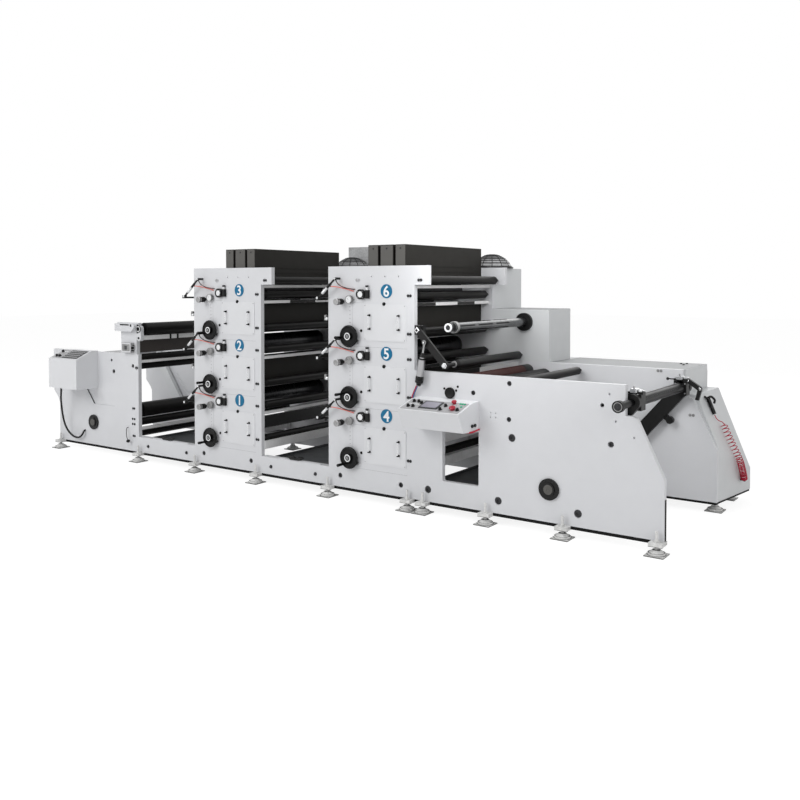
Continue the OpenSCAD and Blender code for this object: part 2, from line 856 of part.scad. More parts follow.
module drying_hoods() {
    color("#35332f") for (x = tower_x, k = units)
        translate([x, 0, hood_top_z - k * unit_pitch]) drying_hood();
}

// ---- controls on the near plates ----

module access_doors() {
    color("gainsboro") each_unit()
        xz_plate(y_near - door_t, door_t) translate([door_x, door_dz]) rounded_rect(door_w, door_h, 10);
}

// A bow handle with a foot at each end
module bow_handle() {
    bow_r = 5;
    stand = 22;
    drop = handle_len / 2;
    for (s = [-1, 1]) translate([0, -door_t, s * drop]) rotate([90, 0, 0]) {
        cylinder(h = 6, r = 9);
        cylinder(h = stand, r = bow_r);
    }
    translate([0, -door_t - stand, -drop]) cylinder(h = 2 * drop, r = bow_r);
    for (s = [-1, 1]) translate([0, -door_t - stand, s * drop]) sphere(r = bow_r);
}

module door_handles() {
    color("silver") each_unit()
        for (x = [handle_x1, handle_x2]) translate([x, y_near, handle_dz]) bow_handle();
}

module unit_number_discs() {
    color("#0a72b4") each_unit() xz_plate(y_near - 4, 4) translate([disc_x, 0]) circle(d = disc_d);
}

module unit_gauges() {
    color("gainsboro") each_unit() translate([anilox_x, y_near, anilox_dz]) rotate([90, 0, 0]) {
        cylinder(h = 12, d = 52);
        translate([0, 0, 12]) cylinder(h = 16, d = 68);
    }
}

module unit_knobs() {
    color("#202020") each_unit() translate([metering_x, y_near, metering_dz]) rotate([90, 0, 0]) {
        cylinder(h = 30, d = 26);
        translate([0, 0, 30]) cylinder(h = 34, d = 34);
        translate([0, 0, 64]) cylinder(h = 26, d = 40);
    }
}

// Side-register clamp on the plate cylinder's end, with its bracket and lock knob
module register_clamp() {
    ring_out = 30;
    translate([plate_cyl_x, y_near, plate_cyl_dz]) rotate([90, 0, 0]) {
        difference() {
            cylinder(h = ring_out, d = 84);
            translate([0, 0, 12]) cylinder(h = ring_out, d = 52);
        }
        cylinder(h = ring_out - 10, d = 34);
    }
    translate([plate_cyl_x + 50, y_near - 26, plate_cyl_dz - 34]) cube([30, 26, 70]);
    translate([plate_cyl_x + 36, y_near - 20, plate_cyl_dz - 10]) cube([20, 20, 20]);
    translate([plate_cyl_x + 62, y_near - 15, plate_cyl_dz + 35]) cylinder(h = 26, d = 14);
    translate([plate_cyl_x + 62, y_near - 15, plate_cyl_dz + 60]) cylinder(h = 14, d = 26);
}

module register_clamps() {
    color("#222222") each_unit() register_clamp();
}

// Throw-off linkage: a small air cylinder slants from its joint down past the plate's edge
lever_top = [123, 104];
lever_low = [-64, -60];
lever_y = -58;
// Hose fittings: one on the barrel and one at the joint, which slants down
barrel_port = lever_low + 0.6 * (lever_top - lever_low);
barrel_fitting = 30;
joint_fitting = 30;
joint_slant = 60;
joint_dir = [cos(joint_slant), 0, -sin(joint_slant)];

module throw_off_lever() {
    mid = (lever_top + lever_low) / 2;
    dx = lever_top[0] - lever_low[0];
    dz = lever_top[1] - lever_low[1];
    translate([0, y_near, 0]) {
        xz_plate(lever_y - 7, 14) xz_link(lever_top, lever_low, 11);
        translate([mid[0], lever_y, mid[1]]) rotate([0, 90 - atan2(dz, dx), 0])
            translate([0, 0, -70]) cylinder(h = 130, d = 22);
        rod_y(lever_top[0], lever_y - 12, lever_top[1], -lever_y + 12, 10);
        translate([lever_low[0] - 20, lever_y - 14, lever_low[1] - 20]) cube([34, 28, 30]);
        translate([lever_low[0] - 10, lever_y, lever_low[1] - 20]) cube([24, -lever_y + 14, 16]);
        translate([lever_low[0] - 10, 2, lever_low[1] - 20]) cube([-lever_low[0] + 10, 12, 16]);
        translate([barrel_port[0], lever_y, barrel_port[1]]) rotate([0, 90, 0])
            cylinder(h = barrel_fitting, d = 10);
        translate([lever_top[0], lever_y, lever_top[1]]) rotate([0, 90 + joint_slant, 0])
            cylinder(h = joint_fitting, d = 10);
    }
}

module throw_off_levers() {
    color("dimgray") each_unit() throw_off_lever();
}

// Short air lines from the linkage's fittings to the plate, held at both ends
hose_r = 4;
function hose_arc(a, c, b, n) = [for (i = [0:n]) bezier3(a, c, b, i / n)];
hose_gap = 0.3;
barrel_start = [barrel_port[0] + barrel_fitting + hose_gap, lever_y, barrel_port[1]];
joint_start = [lever_top[0], lever_y, lever_top[1]] + (joint_fitting + hose_gap) * joint_dir;
barrel_hose = hose_arc(barrel_start, barrel_start + [80, 0, 0], [278, -hose_r, -2], 10);
joint_hose = hose_arc(joint_start, joint_start + 62 * joint_dir, [292, -hose_r, 14], 10);

module unit_air_hoses() {
    color("#c23a32") each_unit() translate([0, y_near, 0]) tube(barrel_hose, hose_r, 8, [0.1, 0.2, 0.97]);
    color("#1c1c1e") each_unit() translate([0, y_near, 0]) tube(joint_hose, hose_r, 8, [0.1, 0.2, 0.97]);
}

// A dished handwheel with a revolving grip; outward is +Z until it is turned
module handwheel(grip_angle) {
    rim_r = (wheel_d - wheel_rim_d) / 2;
    hub_r = 32;
    web_t = 7;
    gap = 6;
    web_z = 34;
    rotate([90, 0, 0]) {
        translate([0, 0, -28]) cylinder(h = 28 + gap, d = wheel_shaft_d);
        rotate_extrude($fn = 64) {
            translate([0, gap]) square([hub_r, web_z + 18 - gap]);
            translate([hub_r - 1, web_z - web_t]) square([rim_r - hub_r + 1, web_t]);
            translate([rim_r, web_z - 3]) circle(d = wheel_rim_d, $fn = 24);
        }
        rotate(grip_angle) translate([rim_r - 12, 0, web_z - 3]) {
            cylinder(h = 24, d = 12);
            translate([0, 0, 24]) cylinder(h = 66, d1 = 20, d2 = 26);
            translate([0, 0, 90]) cylinder(h = 8, d1 = 26, d2 = 16);
        }
    }
}

module unit_handwheel(n, grip_angle) {
    tower = n <= 3 ? 0 : 1;
    k = n <= 3 ? 3 - n : 6 - n;
    translate([tower_x[tower] + wheel_x, y_near, unit_z(k) + wheel_dz]) handwheel(grip_angle);
}

module handwheel_1() { color("#1a1a1a") unit_handwheel(1, 220); }
module handwheel_2() { color("#1a1a1a") unit_handwheel(2, 170); }
module handwheel_3() { color("#1a1a1a") unit_handwheel(3, 205); }
module handwheel_4() { color("#1a1a1a") unit_handwheel(4, 230); }
module handwheel_5() { color("#1a1a1a") unit_handwheel(5, 160); }
module handwheel_6() { color("#1a1a1a") unit_handwheel(6, 188); }

// ---- rewinder ----

ledge_corner = 26;
ledge_x = x_rew_r - 198;

module rewinder_outline() {
    polygon([
        [x_rew, ground_gap], [x_rew_r, ground_gap], [x_rew_r, knee_z],
        [ledge_x + 6, ledge_z - 14], [ledge_x - ledge_corner, ledge_z],
        [x_rew + rew_top_len, ledge_z], [x_rew + rew_top_len, rew_h], [x_rew, rew_h]
    ]);
}

window_x = x_rew + 264;
window_z = 268;

rew_holes = [
    [x_rew + 129, 184, 30], [x_rew + 759, 184, 30], [x_rew_r - 617, 184, 30], [x_rew + 873, 667, 30],
    [x_rew_r - 376, 699, 22], [x_rew_r - 440, rew_h - 152, 15], [x_rew + 851, rew_h - 49, 19],
    [x_rew + 848, rew_h - 316, 19], [x_rew + 541, rew_h - 140, 19], [x_rew_r - 387, rew_h - 71, 8],
    [x_rew_r - 341, rew_h - 256, 8], [x_rew_r - 210, 762, 7]
];

module rewinder_near_plate() {
    color("gainsboro") difference() {
        xz_plate(y_near, plate_t) rewinder_outline();
        xz_plate(y_near - 1, plate_t + 2) translate([window_x, window_z])
            rounded_rect(window_w, window_h, 14);
        recesses(rew_holes, y_near, 14);
        recesses([for (dx = [-22, 22], dz = [-17, 17]) [x_rew + 716 + dx, rew_h - 295 + dz, 5]], y_near, 10);
    }
}

module rewinder_far_plate() {
    color("gainsboro") xz_plate(y_far, plate_t) rewinder_outline();
}

drum = [x_rew + 541, rew_h - 127];
press_roller = [x_rew + 336, rew_h - 155];
rubber_roller = [x_rew + 395, rew_h - 77];
rubber_roller_d = 116;

module rewinder_rollers() {
    color("#2c2b2a") {
        guide_roller(x_rew + 865, rew_h - 51, 68);
        guide_roller(x_rew + 848, rew_h - 316);
        press_cylinder(press_roller[0] - 60, press_roller[1], 96, end = 40);
        press_cylinder(drum[0], drum[1], 150, end = 40);
        guide_roller(x_rew + 120, rew_h - 417);
    }
    color("#1d1d1d") rod_y(press_roller[0], y_near - 14, press_roller[1], 14, 43);
}

module rewinder_rubber_roller() {
    color("#5c3530") press_cylinder(rubber_roller[0], rubber_roller[1], rubber_roller_d, end = 62);
}

// Lifting arms with the shaft's chucks at their upper ends
module winding_arms() {
    y1 = y_in + arm_gap;
    y2 = y_far - arm_gap;
    neck_hole_d = winding_d * 0.6 + 2 * shaft_clear;
    color("#1c1c1c") {
        for (y = [y1, y2 - arm_t]) xz_plate(y, arm_t) difference() {
            xz_link(arm_pivot, shaft_pos, arm_w);
            translate(shaft_pos) circle(d = neck_hole_d);
        }
        // Chuck blocks, slotted at the top under their latches
        for (y = [y1 + arm_t, y2 - arm_t - chuck_t]) {
            xz_plate(y, chuck_t) difference() {
                translate([shaft_pos[0] - 50, shaft_pos[1] - 60]) square([100, 112]);
                translate(shaft_pos) circle(d = neck_hole_d + 8);
                translate([shaft_pos[0] - neck_hole_d / 2 - 4, shaft_pos[1]]) square([neck_hole_d + 8, 100]);
            }
            translate([shaft_pos[0] - 56, y + 14, shaft_pos[1] + 52 - eps]) cube([112, chuck_t - 28, 16]);
        }
        // The far chuck's release: a thin bar with a ball, and a cranked lever
        latch_y = y2 - arm_t - chuck_t / 2;
        bar = [shaft_pos[0] - 112, latch_y, shaft_pos[1] + 60];
        translate(bar) rotate([0, 90, 0]) cylinder(h = 100, d = 10);
        translate(bar) sphere(d = 24);
        xz_plate(latch_y - 14, 28) translate(shaft_pos) polygon([
            [37, 44], [55, 74], [150, 11], [159, -4], [156, -24], [135, -96], [109, -90], [127, -16]
        ]);
        // Lug for the lift cylinder
        lug = arm_pivot + [478, 384];
        rod_y(lug[0], y2 - arm_t + 4, lug[1], arm_t - 8, 29);
        xz_plate(y2 - arm_t + 8, arm_t - 16)
            polygon([lug + [-76, 30], lug + [-46, 62], lug + [14, 12], lug + [-14, -16]]);
        rod_y(arm_pivot[0], y_in, arm_pivot[1], inner_w, pivot_d / 2);
    }
}

module winding_shaft() {
    neck_d = 36;
    knob_out = 200;
    knob_t = 36;
    knob_r = 40;
    y1 = y_in + arm_gap;
    y2 = y_far - arm_gap;
    end = arm_t + chuck_t + 3;
    color("#4b4b4b") translate([shaft_pos[0], 0, shaft_pos[1]]) {
        rod_y(0, y_near - knob_out, 0, y1 - y_near + knob_out, neck_d / 2);
        rod_y(0, y1, 0, y2 - y1, winding_d * 0.3);
        rod_y(0, y1 + end, 0, y2 - y1 - 2 * end, winding_d / 2);
        rod_y(0, y_near - knob_out, 0, knob_t, knob_r);
        rod_y(0, y_near - knob_out + knob_t, 0, knob_out - knob_t - 12, 26);
    }
}

console_x = x_rew + 44;

module main_console() {
    color("gainsboro") difference() {
        console_body(console_x, console_w, console_out, console_out - 67, 110, 686, 703, 850, 908, 918);
        yz_prism(console_x + 14, console_w - 28) polygon([
            [y_near - console_out + 10, 857], [y_near - 114, 911],
            [y_near - 114, 1000], [y_near - console_out + 10, 1000]
        ]);
    }
}

module reel_spindle() {
    y1 = y_near - 27;
    color("silver") translate([spindle_x, 0, spindle_z]) {
        rod_y(0, y1 + 60, 0, y_far - 30 - y1 - 60, spindle_d / 2);
        rod_y(0, y1, 0, 60, 24);
        rod_y(0, y1, 0, 22, 33);
        rod_y(0, y1 + 78, 0, 26, 46);
        rod_y(0, y_far - 34, 0, 27, 24);
    }
}

module spindle_socket() {
    color("#262626") translate([spindle_x, y_far - 30, spindle_z]) rotate([-90, 0, 0]) difference() {
        cylinder(h = 30, d = socket_d);
        translate([0, 0, -1]) cylinder(h = 25, d = 48 + 2 * shaft_clear);
        translate([0, 0, -1]) cylinder(h = 9, d = spindle_d + 12);
    }
}

// Tension arm: near lever on a torque tube, with the roller it carries over the plate's edge
module tension_arm() {
    roller_y = y_near + 108;
    tip_len = 26;
    tip_end = y_far - 6;
    body_end = tip_end - tip_len - roller_cone;
    color("#2b2b2b") {
        xz_plate(tension_y, tension_t) {
            xz_link(tension_pivot, tension_end, tension_w);
            translate(tension_pin) circle(r = 16);
        }
        rod_y(tension_pivot[0], tension_y, tension_pivot[1], y_far - 5 - tension_y, tension_tube_d / 2);
        translate([tension_pivot[0], tension_y + eps, tension_pivot[1]]) rotate([90, 0, 0])
            cylinder(h = 8, d = 52, $fn = 4);
        rod_y(tension_end[0], tension_y - 16, tension_end[1], roller_y - tension_y + 16, 16);
        translate([tension_end[0], roller_y, tension_end[1]]) rotate([-90, 0, 0])
            cylinder(h = roller_cone, d1 = roller_d * 0.6, d2 = roller_d);
        translate([tension_end[0], roller_y + roller_cone, tension_end[1]]) rotate([-90, 0, 0])
            cylinder(h = body_end - roller_y - roller_cone, d = roller_d);
        translate([tension_end[0], body_end, tension_end[1]]) rotate([-90, 0, 0])
            cylinder(h = roller_cone, d1 = roller_d, d2 = roller_d * 0.5);
        rod_y(tension_end[0], tip_end - tip_len - 1, tension_end[1], tip_len + 1, 11);
        rod_y(tension_pin[0], cylinder_y - 14, tension_pin[1], tension_y - cylinder_y + 14 + eps, 7);
    }
}

// Places children on the cylinder's axis, with their +Z along it from the foot's pin
module on_cylinder_axis() {
    translate([cylinder_foot[0], cylinder_y, cylinder_foot[1]]) rotate([0, cylinder_tilt, 0]) children();
}

module tension_cylinder() {
    color("#d0d0d0") {
        on_cylinder_axis() {
            difference() {
                union() {
                    translate([0, 0, barrel_base]) cylinder(h = barrel_h, d = barrel_d);
                    translate([0, 0, barrel_base + barrel_h - eps]) cylinder(h = 20, d = barrel_d * 0.72);
                }
                translate([0, 0, barrel_base + 30]) cylinder(h = barrel_h, d = rod_d + 2 * shaft_clear);
            }
            translate([0, 0, 14]) cylinder(h = barrel_base - 14 + eps, d = barrel_d + 4);
            translate([0, 0, -12]) cylinder(h = 27, d = 34);
        }
        rod_y(cylinder_foot[0], cylinder_y, cylinder_foot[1], y_near - cylinder_y, 8);
    }
}

module tension_rod() {
    eye_r = 7 + eye_clear;
    rod_start = barrel_base + 60;
    color("silver") {
        on_cylinder_axis() translate([0, 0, rod_start])
            cylinder(h = norm(cylinder_reach) - rod_start - eye_r - 4, d = rod_d);
        xz_plate(cylinder_y - 8, 16) difference() {
            translate(tension_pin) circle(r = eye_r + 9);
            translate(tension_pin) circle(r = eye_r);
        }
    }
}

// ---- drive side ----

module tower_drive_cabinets() {
    color("lightgray") for (x = tower_x)
        translate([x, y_back, ground_gap])
            cube([tower_w, tower_cab_depth - plate_t, tower_h - 4 - ground_gap]);
}

// The end cover: a flared box cut by the slanted plane of the side plates' edge
module end_cover() {
    x1 = x_rew + rew_top_len + 6;
    slope = (ledge_z - knee_z) / (x_rew_r - ledge_x - 30);
    reach = end_flare + 20;
    intersection() {
        translate([0, 0, ground_gap]) linear_extrude(ledge_z + 20 - ground_gap) polygon([
            [x1, y_back], [x_rew_r, y_back], [x_rew_r + end_flare, y_far + low_cab_depth],
            [x1, y_far + low_cab_depth]
        ]);
        xz_plate(y_back - 1, low_cab_depth + 2) polygon([
            [x1, ground_gap - 1], [x_rew_r + reach, ground_gap - 1],
            [x_rew_r + reach, knee_z - slope * reach], [ledge_x + 28, ledge_z + 14], [x1, ledge_z + 14]
        ]);
    }
}

module rewinder_drive_cabinets() {
    low_len = rew_top_len + 6;
    color("lightgray") {
        translate([x_rew, y_back, ground_gap])
            cube([low_len, low_cab_depth - plate_t, rew_h - 3 - ground_gap]);
        translate([x_rew, y_far, rew_h]) cube([mid_cab_len, mid_cab_depth, mid_cab_z - rew_h]);
        end_cover();
    }
}

module blower_covers() {
    cap_r = (dome_r * dome_r + dome_h * dome_h) / (2 * dome_h);
    z = tower_h - 4;
    for (x = tower_x) translate([x + tower_w - 143, y_back + dome_r + 16, z]) {
        color("dimgray") rotate_extrude($fn = 64) intersection() {
            translate([0, dome_h - cap_r]) circle(r = cap_r, $fn = 96);
            square([dome_r, dome_h]);
        }
        color("#202020") cylinder(h = 16, r = dome_r + 10);
    }
    color("lightgray") translate([x_t1 + tower_w - 250, y_far + 320, z]) cube([280, 230, 244]);
}

// Angle of the end cover's slanted face from the upright
slant = atan((x_rew_r - ledge_x - 30) / (ledge_z - knee_z));
// The flared end face's X at a given depth
function flare_x(y) = x_rew_r + end_flare * (y - y_back) / (low_cab_depth - plate_t);

coil_line = smooth_path(coil_path, 3);
coil_end = coil_line[len(coil_line) - 1];
coil_dir = unit(coil_end - coil_line[len(coil_line) - 2]);
flare_angle = atan(end_flare / (low_cab_depth - plate_t));

// A pistol-grip blow gun that hangs on the slanted face, and the hose's fitting
module air_gun() {
    grip_len = 132;
    color("#161616") {
        translate(gun_foot) rotate([0, -slant, 0]) {
            cylinder(h = grip_len, d = gun_d);
            translate([0, 0, grip_len]) cylinder(h = 16, d1 = gun_d, d2 = 18);
            translate([0, 0, grip_len - 14]) rotate([62, 0, 0]) cylinder(h = 78, d = 18);
        }
        // Elbow from the coil's end to the flared face
        translate(coil_end + 0.05 * coil_dir)
            rotate([0, acos(coil_dir[2]), atan2(coil_dir[1], coil_dir[0])]) cylinder(h = 24, d = 18);
        elbow = coil_end + 16 * coil_dir;
        reach = (elbow[0] - flare_x(elbow[1])) * cos(flare_angle);
        translate(elbow) rotate([0, 0, -flare_angle]) rotate([0, -90, 0]) cylinder(h = reach - 0.05, d = 16);
    }
}

module air_gun_lead() {
    color("#c8283c") tube(smooth_path(lead_path, 2), hose_d / 2, 8);
}

module air_gun_coil() {
    color("#c8283c") tube(coil_line, coil_d / 2, 12);
}

unwinder_near_plate();
unwinder_far_plate();
unwinder_rollers();
unwinder_reel_arms();
unwind_shaft();
unwinder_control_box();
control_box_cable();
web_guide_frame();
web_guide_sheet();
web_guide_rollers();
web_guide_display();
base_rails();
tray_latches();
drip_trays();
levelling_feet();
bearing_covers();
tower_1_near_plate();
tower_2_near_plate();
tower_1_far_plate();
tower_2_far_plate();
impression_cylinders();
plate_cylinders();
anilox_rollers();
metering_rollers();
ink_pans();
tower_guide_rollers();
tie_bars();
drying_hoods();
access_doors();
door_handles();
unit_number_discs();
unit_gauges();
unit_knobs();
register_clamps();
throw_off_levers();
unit_air_hoses();
handwheel_1();
handwheel_2();
handwheel_3();
handwheel_4();
handwheel_5();
handwheel_6();
rewinder_near_plate();
rewinder_far_plate();
rewinder_rollers();
rewinder_rubber_roller();
winding_arms();
winding_shaft();
main_console();
reel_spindle();
spindle_socket();
tension_arm();
tension_cylinder();
tension_rod();
tower_drive_cabinets();
rewinder_drive_cabinets();
blower_covers();
air_gun();
air_gun_lead();
air_gun_coil();
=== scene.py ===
"""Looks of a six-unit stack-type flexographic printing press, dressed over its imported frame."""

import logging
import math
from dataclasses import dataclass, field
from enum import Enum
from typing import Iterable, Sequence

import bmesh
import bpy
from mathutils import Euler, Matrix, Vector


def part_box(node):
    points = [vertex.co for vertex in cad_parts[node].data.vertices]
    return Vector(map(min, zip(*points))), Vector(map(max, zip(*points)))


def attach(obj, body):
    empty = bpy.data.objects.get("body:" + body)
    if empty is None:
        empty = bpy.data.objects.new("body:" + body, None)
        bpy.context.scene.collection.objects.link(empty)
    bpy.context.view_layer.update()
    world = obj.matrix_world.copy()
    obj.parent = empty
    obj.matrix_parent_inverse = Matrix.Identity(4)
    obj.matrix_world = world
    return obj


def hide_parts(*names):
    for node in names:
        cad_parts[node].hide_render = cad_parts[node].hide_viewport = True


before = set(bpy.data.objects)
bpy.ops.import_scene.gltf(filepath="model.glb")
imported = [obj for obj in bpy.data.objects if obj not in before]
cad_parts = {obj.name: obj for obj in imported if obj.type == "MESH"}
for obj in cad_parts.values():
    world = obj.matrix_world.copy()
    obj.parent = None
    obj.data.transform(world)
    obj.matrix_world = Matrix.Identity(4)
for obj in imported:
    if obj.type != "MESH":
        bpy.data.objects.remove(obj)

logging.basicConfig(level=logging.INFO, format="%(message)s")
log = logging.getLogger("press")

Point = tuple[float, float, float]
Colour = tuple[float, float, float]
Place = tuple[Sequence[float], Vector]
SHARP = math.radians(32)
PLATE_THICK = 0.040
TOWER_WIDTH = 0.890
DISC_RADIUS = 0.057
NEAR = Vector((0.0, -1.0, 0.0))
ACROSS = Vector((0.0, 1.0, 0.0))
ALONG = Vector((1.0, 0.0, 0.0))
UP = Vector((0.0, 0.0, 1.0))


# ---- shader maths ----


class Value:
    """A number socket that can be used in arithmetic; each step adds a Math node."""

    def __init__(self, graph: "Graph", socket: bpy.types.NodeSocket) -> None:
        """Wraps one output socket of a graph."""
        self.graph = graph
        self.socket = socket

    def _math(self, operation: str, first: object, second: object = 0.0) -> "Value":
        """Adds a Math node of two values or numbers."""
        node = self.graph.node("ShaderNodeMath", {0: first, 1: second}, operation=operation)
        return Value(self.graph, node.outputs[0])

    def __add__(self, other: object) -> "Value":
        """Sum."""
        return self._math("ADD", self, other)

    __radd__ = __add__

    def __sub__(self, other: object) -> "Value":
        """Difference."""
        return self._math("SUBTRACT", self, other)

    def __rsub__(self, other: object) -> "Value":
        """Difference from a number."""
        return self._math("SUBTRACT", other, self)

    def __mul__(self, other: object) -> "Value":
        """Product."""
        return self._math("MULTIPLY", self, other)

    __rmul__ = __mul__

    def __gt__(self, other: object) -> "Value":
        """One where this is greater, otherwise zero."""
        return self._math("GREATER_THAN", self, other)

    def clamp(self) -> "Value":
        """The value held between zero and one."""
        node = self.graph.node("ShaderNodeClamp", {0: self})
        return Value(self.graph, node.outputs[0])

    def band(self, low: float, high: float) -> "Value":
        """Maps low..high to 0..1, held at both ends."""
        return ((self - low) * (1.0 / (high - low))).clamp()


class Graph:
    """The node tree of a material or world, with one way to add a node."""

    def __init__(self, owner: bpy.types.Material | bpy.types.World) -> None:
        """Starts with an empty tree.

        Args:
            owner: the material or world.
        """
        owner.use_nodes = True
        self.owner = owner
        self.tree = owner.node_tree
        self.tree.nodes.clear()

    def node(self, kind: str, inputs: dict | None = None, **settings: str) -> bpy.types.Node:
        """Adds a node, sets it up and feeds its sockets.

        Args:
            kind: the node's type name.
            inputs: socket name or index to a value, a Value or an output socket.
            settings: the node's own attributes.

        Returns:
            The new node.
        """
        made = self.tree.nodes.new(kind)
        for key, value in settings.items():
            setattr(made, key, value)
        for key, value in (inputs or {}).items():
            socket = made.inputs[key]
            source = value.socket if isinstance(value, Value) else value
            if isinstance(source, bpy.types.NodeSocket):
                self.tree.links.new(source, socket)
            else:
                socket.default_value = source
        return made

    def place(self, scale: Point = (1.0, 1.0, 1.0)) -> bpy.types.NodeSocket:
        """Object coordinates, stretched.

        Args:
            scale: factor along each axis.

        Returns:
            The vector socket.
        """
        source = self.node("ShaderNodeTexCoord").outputs["Object"]
        if scale == (1.0, 1.0, 1.0):
            return source
        return self.node("ShaderNodeMapping", {"Vector": source, "Scale": scale}).outputs[0]

    def noise(self, scale: float, detail: float = 4.0, stretch: Point = (1.0, 1.0, 1.0)) -> Value:
        """Fractal noise on object coordinates, about 0..1, with scale in cells per metre."""
        inputs = {"Vector": self.place(stretch), "Scale": scale, "Detail": detail}
        return Value(self, self.node("ShaderNodeTexNoise", inputs).outputs[0])

    def axis(self, name: str) -> Value:
        """One coordinate of the object's own space, by the letter X, Y or Z."""
        made = self.node("ShaderNodeSeparateXYZ", {0: self.place()})
        return Value(self, made.outputs[name])

    def facing_up(self) -> Value:
        """How far the surface faces upwards.

        Returns:
            The value, from -1 to 1.
        """
        normal = self.node("ShaderNodeNewGeometry").outputs["Normal"]
        made = self.node("ShaderNodeSeparateXYZ", {0: normal})
        return Value(self, made.outputs["Z"])

    def mix(self, factor: Value, low: object, high: object) -> bpy.types.NodeSocket:
        """Blends two colours.

        Args:
            factor: 0 gives low, 1 gives high.
            low: a colour or a colour socket.
            high: a colour or a colour socket.

        Returns:
            The colour socket.
        """
        made = self.node("ShaderNodeMix", data_type="RGBA")
        self.tree.links.new(factor.socket, made.inputs[0])
        for index, item in ((6, low), (7, high)):
            if isinstance(item, bpy.types.NodeSocket):
                self.tree.links.new(item, made.inputs[index])
            else:
                made.inputs[index].default_value = (*item, 1.0)
        return made.outputs[2]


class Surface(Enum):
    """How a finish is worked on its surface."""

    ENAMEL = "sprayed enamel with a faint orange peel"
    POWDER = "matt powder coat"
    TURNED = "metal turned or ground around the cross axis"
    ROLLED = "rolled or cast metal"
    MOULDED = "moulded plastic"
    SOFT = "rubber or hose"
    GLOSS = "smooth glossy face"


@dataclass(frozen=True)
class Finish:
    """One finish of the press.

    Attributes:
        name: plain name of the finish.
        colour: main colour, linear.
        surface: how it is worked.
        roughness: mean roughness.
        shade: how much darker its dirty parts are.
        metallic: 1 for bare metal.
        coat: clear gloss over it.
        grime: how much dust and grease it carries.
        bump: height of its texture in metres.
        gleam: strength of its mirror reflection, 0.5 for ordinary paint.
    """

    name: str
    colour: Colour
    surface: Surface = Surface.ENAMEL
    roughness: float = 0.4
    shade: float = 0.72
    metallic: float = 0.0
    coat: float = 0.0
    grime: float = 0.35
    bump: float = 0.0002
    gleam: float = 0.5

    def material(self) -> bpy.types.Material:
        """Builds the node material of this finish.

        Returns:
            The material.
        """
        graph = Graph(bpy.data.materials.new(self.name))
        broad = graph.noise(1.7, 5.0)
        cloud = graph.noise(9.0, 6.0)
        dirt = (broad * 0.6 + cloud * 0.4).band(0.44, 0.72) * self.grime
        worn = tuple(channel * self.shade for channel in self.colour)
        if self.surface is Surface.TURNED:
            fine = graph.noise(3.0, 3.0, (0.6, 220.0, 0.6))
            tone = (fine * 0.7 + cloud * 0.3).band(0.36, 0.66)
            colour = graph.mix(tone, worn, self.colour)
            rough = tone * -0.10 + (self.roughness + 0.05) + dirt * 0.12
        elif self.surface is Surface.ROLLED:
            fine = graph.noise(55.0, 5.0)
            tone = (fine * 0.5 + cloud * 0.5).band(0.38, 0.64)
            colour = graph.mix(tone, worn, self.colour)
            rough = tone * -0.12 + (self.roughness + 0.06) + dirt * 0.1
        elif self.surface is Surface.ENAMEL:
            fine = graph.noise(240.0, 1.0)
            floor = (graph.axis("Z") * -1.0 + 0.36 + broad * 0.16).band(0.0, 0.34) * (0.5 * self.grime)
            ledge = graph.facing_up().band(0.8, 1.0) * cloud.band(0.35, 0.7) * (0.35 * self.grime)
            mask = (dirt * 0.55 + floor + ledge).clamp()
            colour = graph.mix(mask, self.colour, worn)
            rough = cloud * 0.10 + (self.roughness - 0.05) + mask * 0.25
        elif self.surface is Surface.POWDER:
            fine = graph.noise(420.0, 2.0)
            speck = graph.noise(160.0, 2.0)
            ledge = graph.facing_up().band(0.6, 1.0) * cloud.band(0.4, 0.75) * self.grime
            dusty = tuple(min(1.0, channel * 2.1 + 0.02) for channel in self.colour)
            base = graph.mix(dirt, self.colour, worn)
            colour = graph.mix((ledge * 0.6 + speck.band(0.66, 0.8) * 0.25).clamp(), base, dusty)
            rough = cloud * 0.14 + (self.roughness - 0.06) + ledge * 0.2
        elif self.surface is Surface.SOFT:
            fine = graph.noise(300.0, 3.0)
            colour = graph.mix((cloud.band(0.4, 0.75) * 0.5 + dirt * 0.5).clamp(), self.colour, worn)
            rough = cloud * 0.16 + (self.roughness - 0.08)
        elif self.surface is Surface.MOULDED:
            fine = graph.noise(520.0, 2.0)
            speck = graph.noise(160.0, 2.0)
            colour = graph.mix((dirt + speck.band(0.62, 0.8) * 0.2).clamp(), self.colour, worn)
            rough = cloud * 0.12 + (self.roughness - 0.06)
        else:
            fine = graph.noise(30.0, 2.0)
            colour = graph.mix(dirt, self.colour, worn)
            rough = cloud * 0.06 + (self.roughness - 0.03)
        bump = graph.node("ShaderNodeBump", {"Height": fine, "Strength": 0.35, "Distance": self.bump})
        shader = graph.node(
            "ShaderNodeBsdfPrincipled",
            {
                "Base Color": colour,
                "Roughness": rough,
                "Metallic": self.metallic,
                "Coat Weight": self.coat,
                "Specular IOR Level": self.gleam,
                "Normal": bump.outputs[0],
            },
        )
        graph.node("ShaderNodeOutputMaterial", {"Surface": shader.outputs[0]})
        return graph.owner


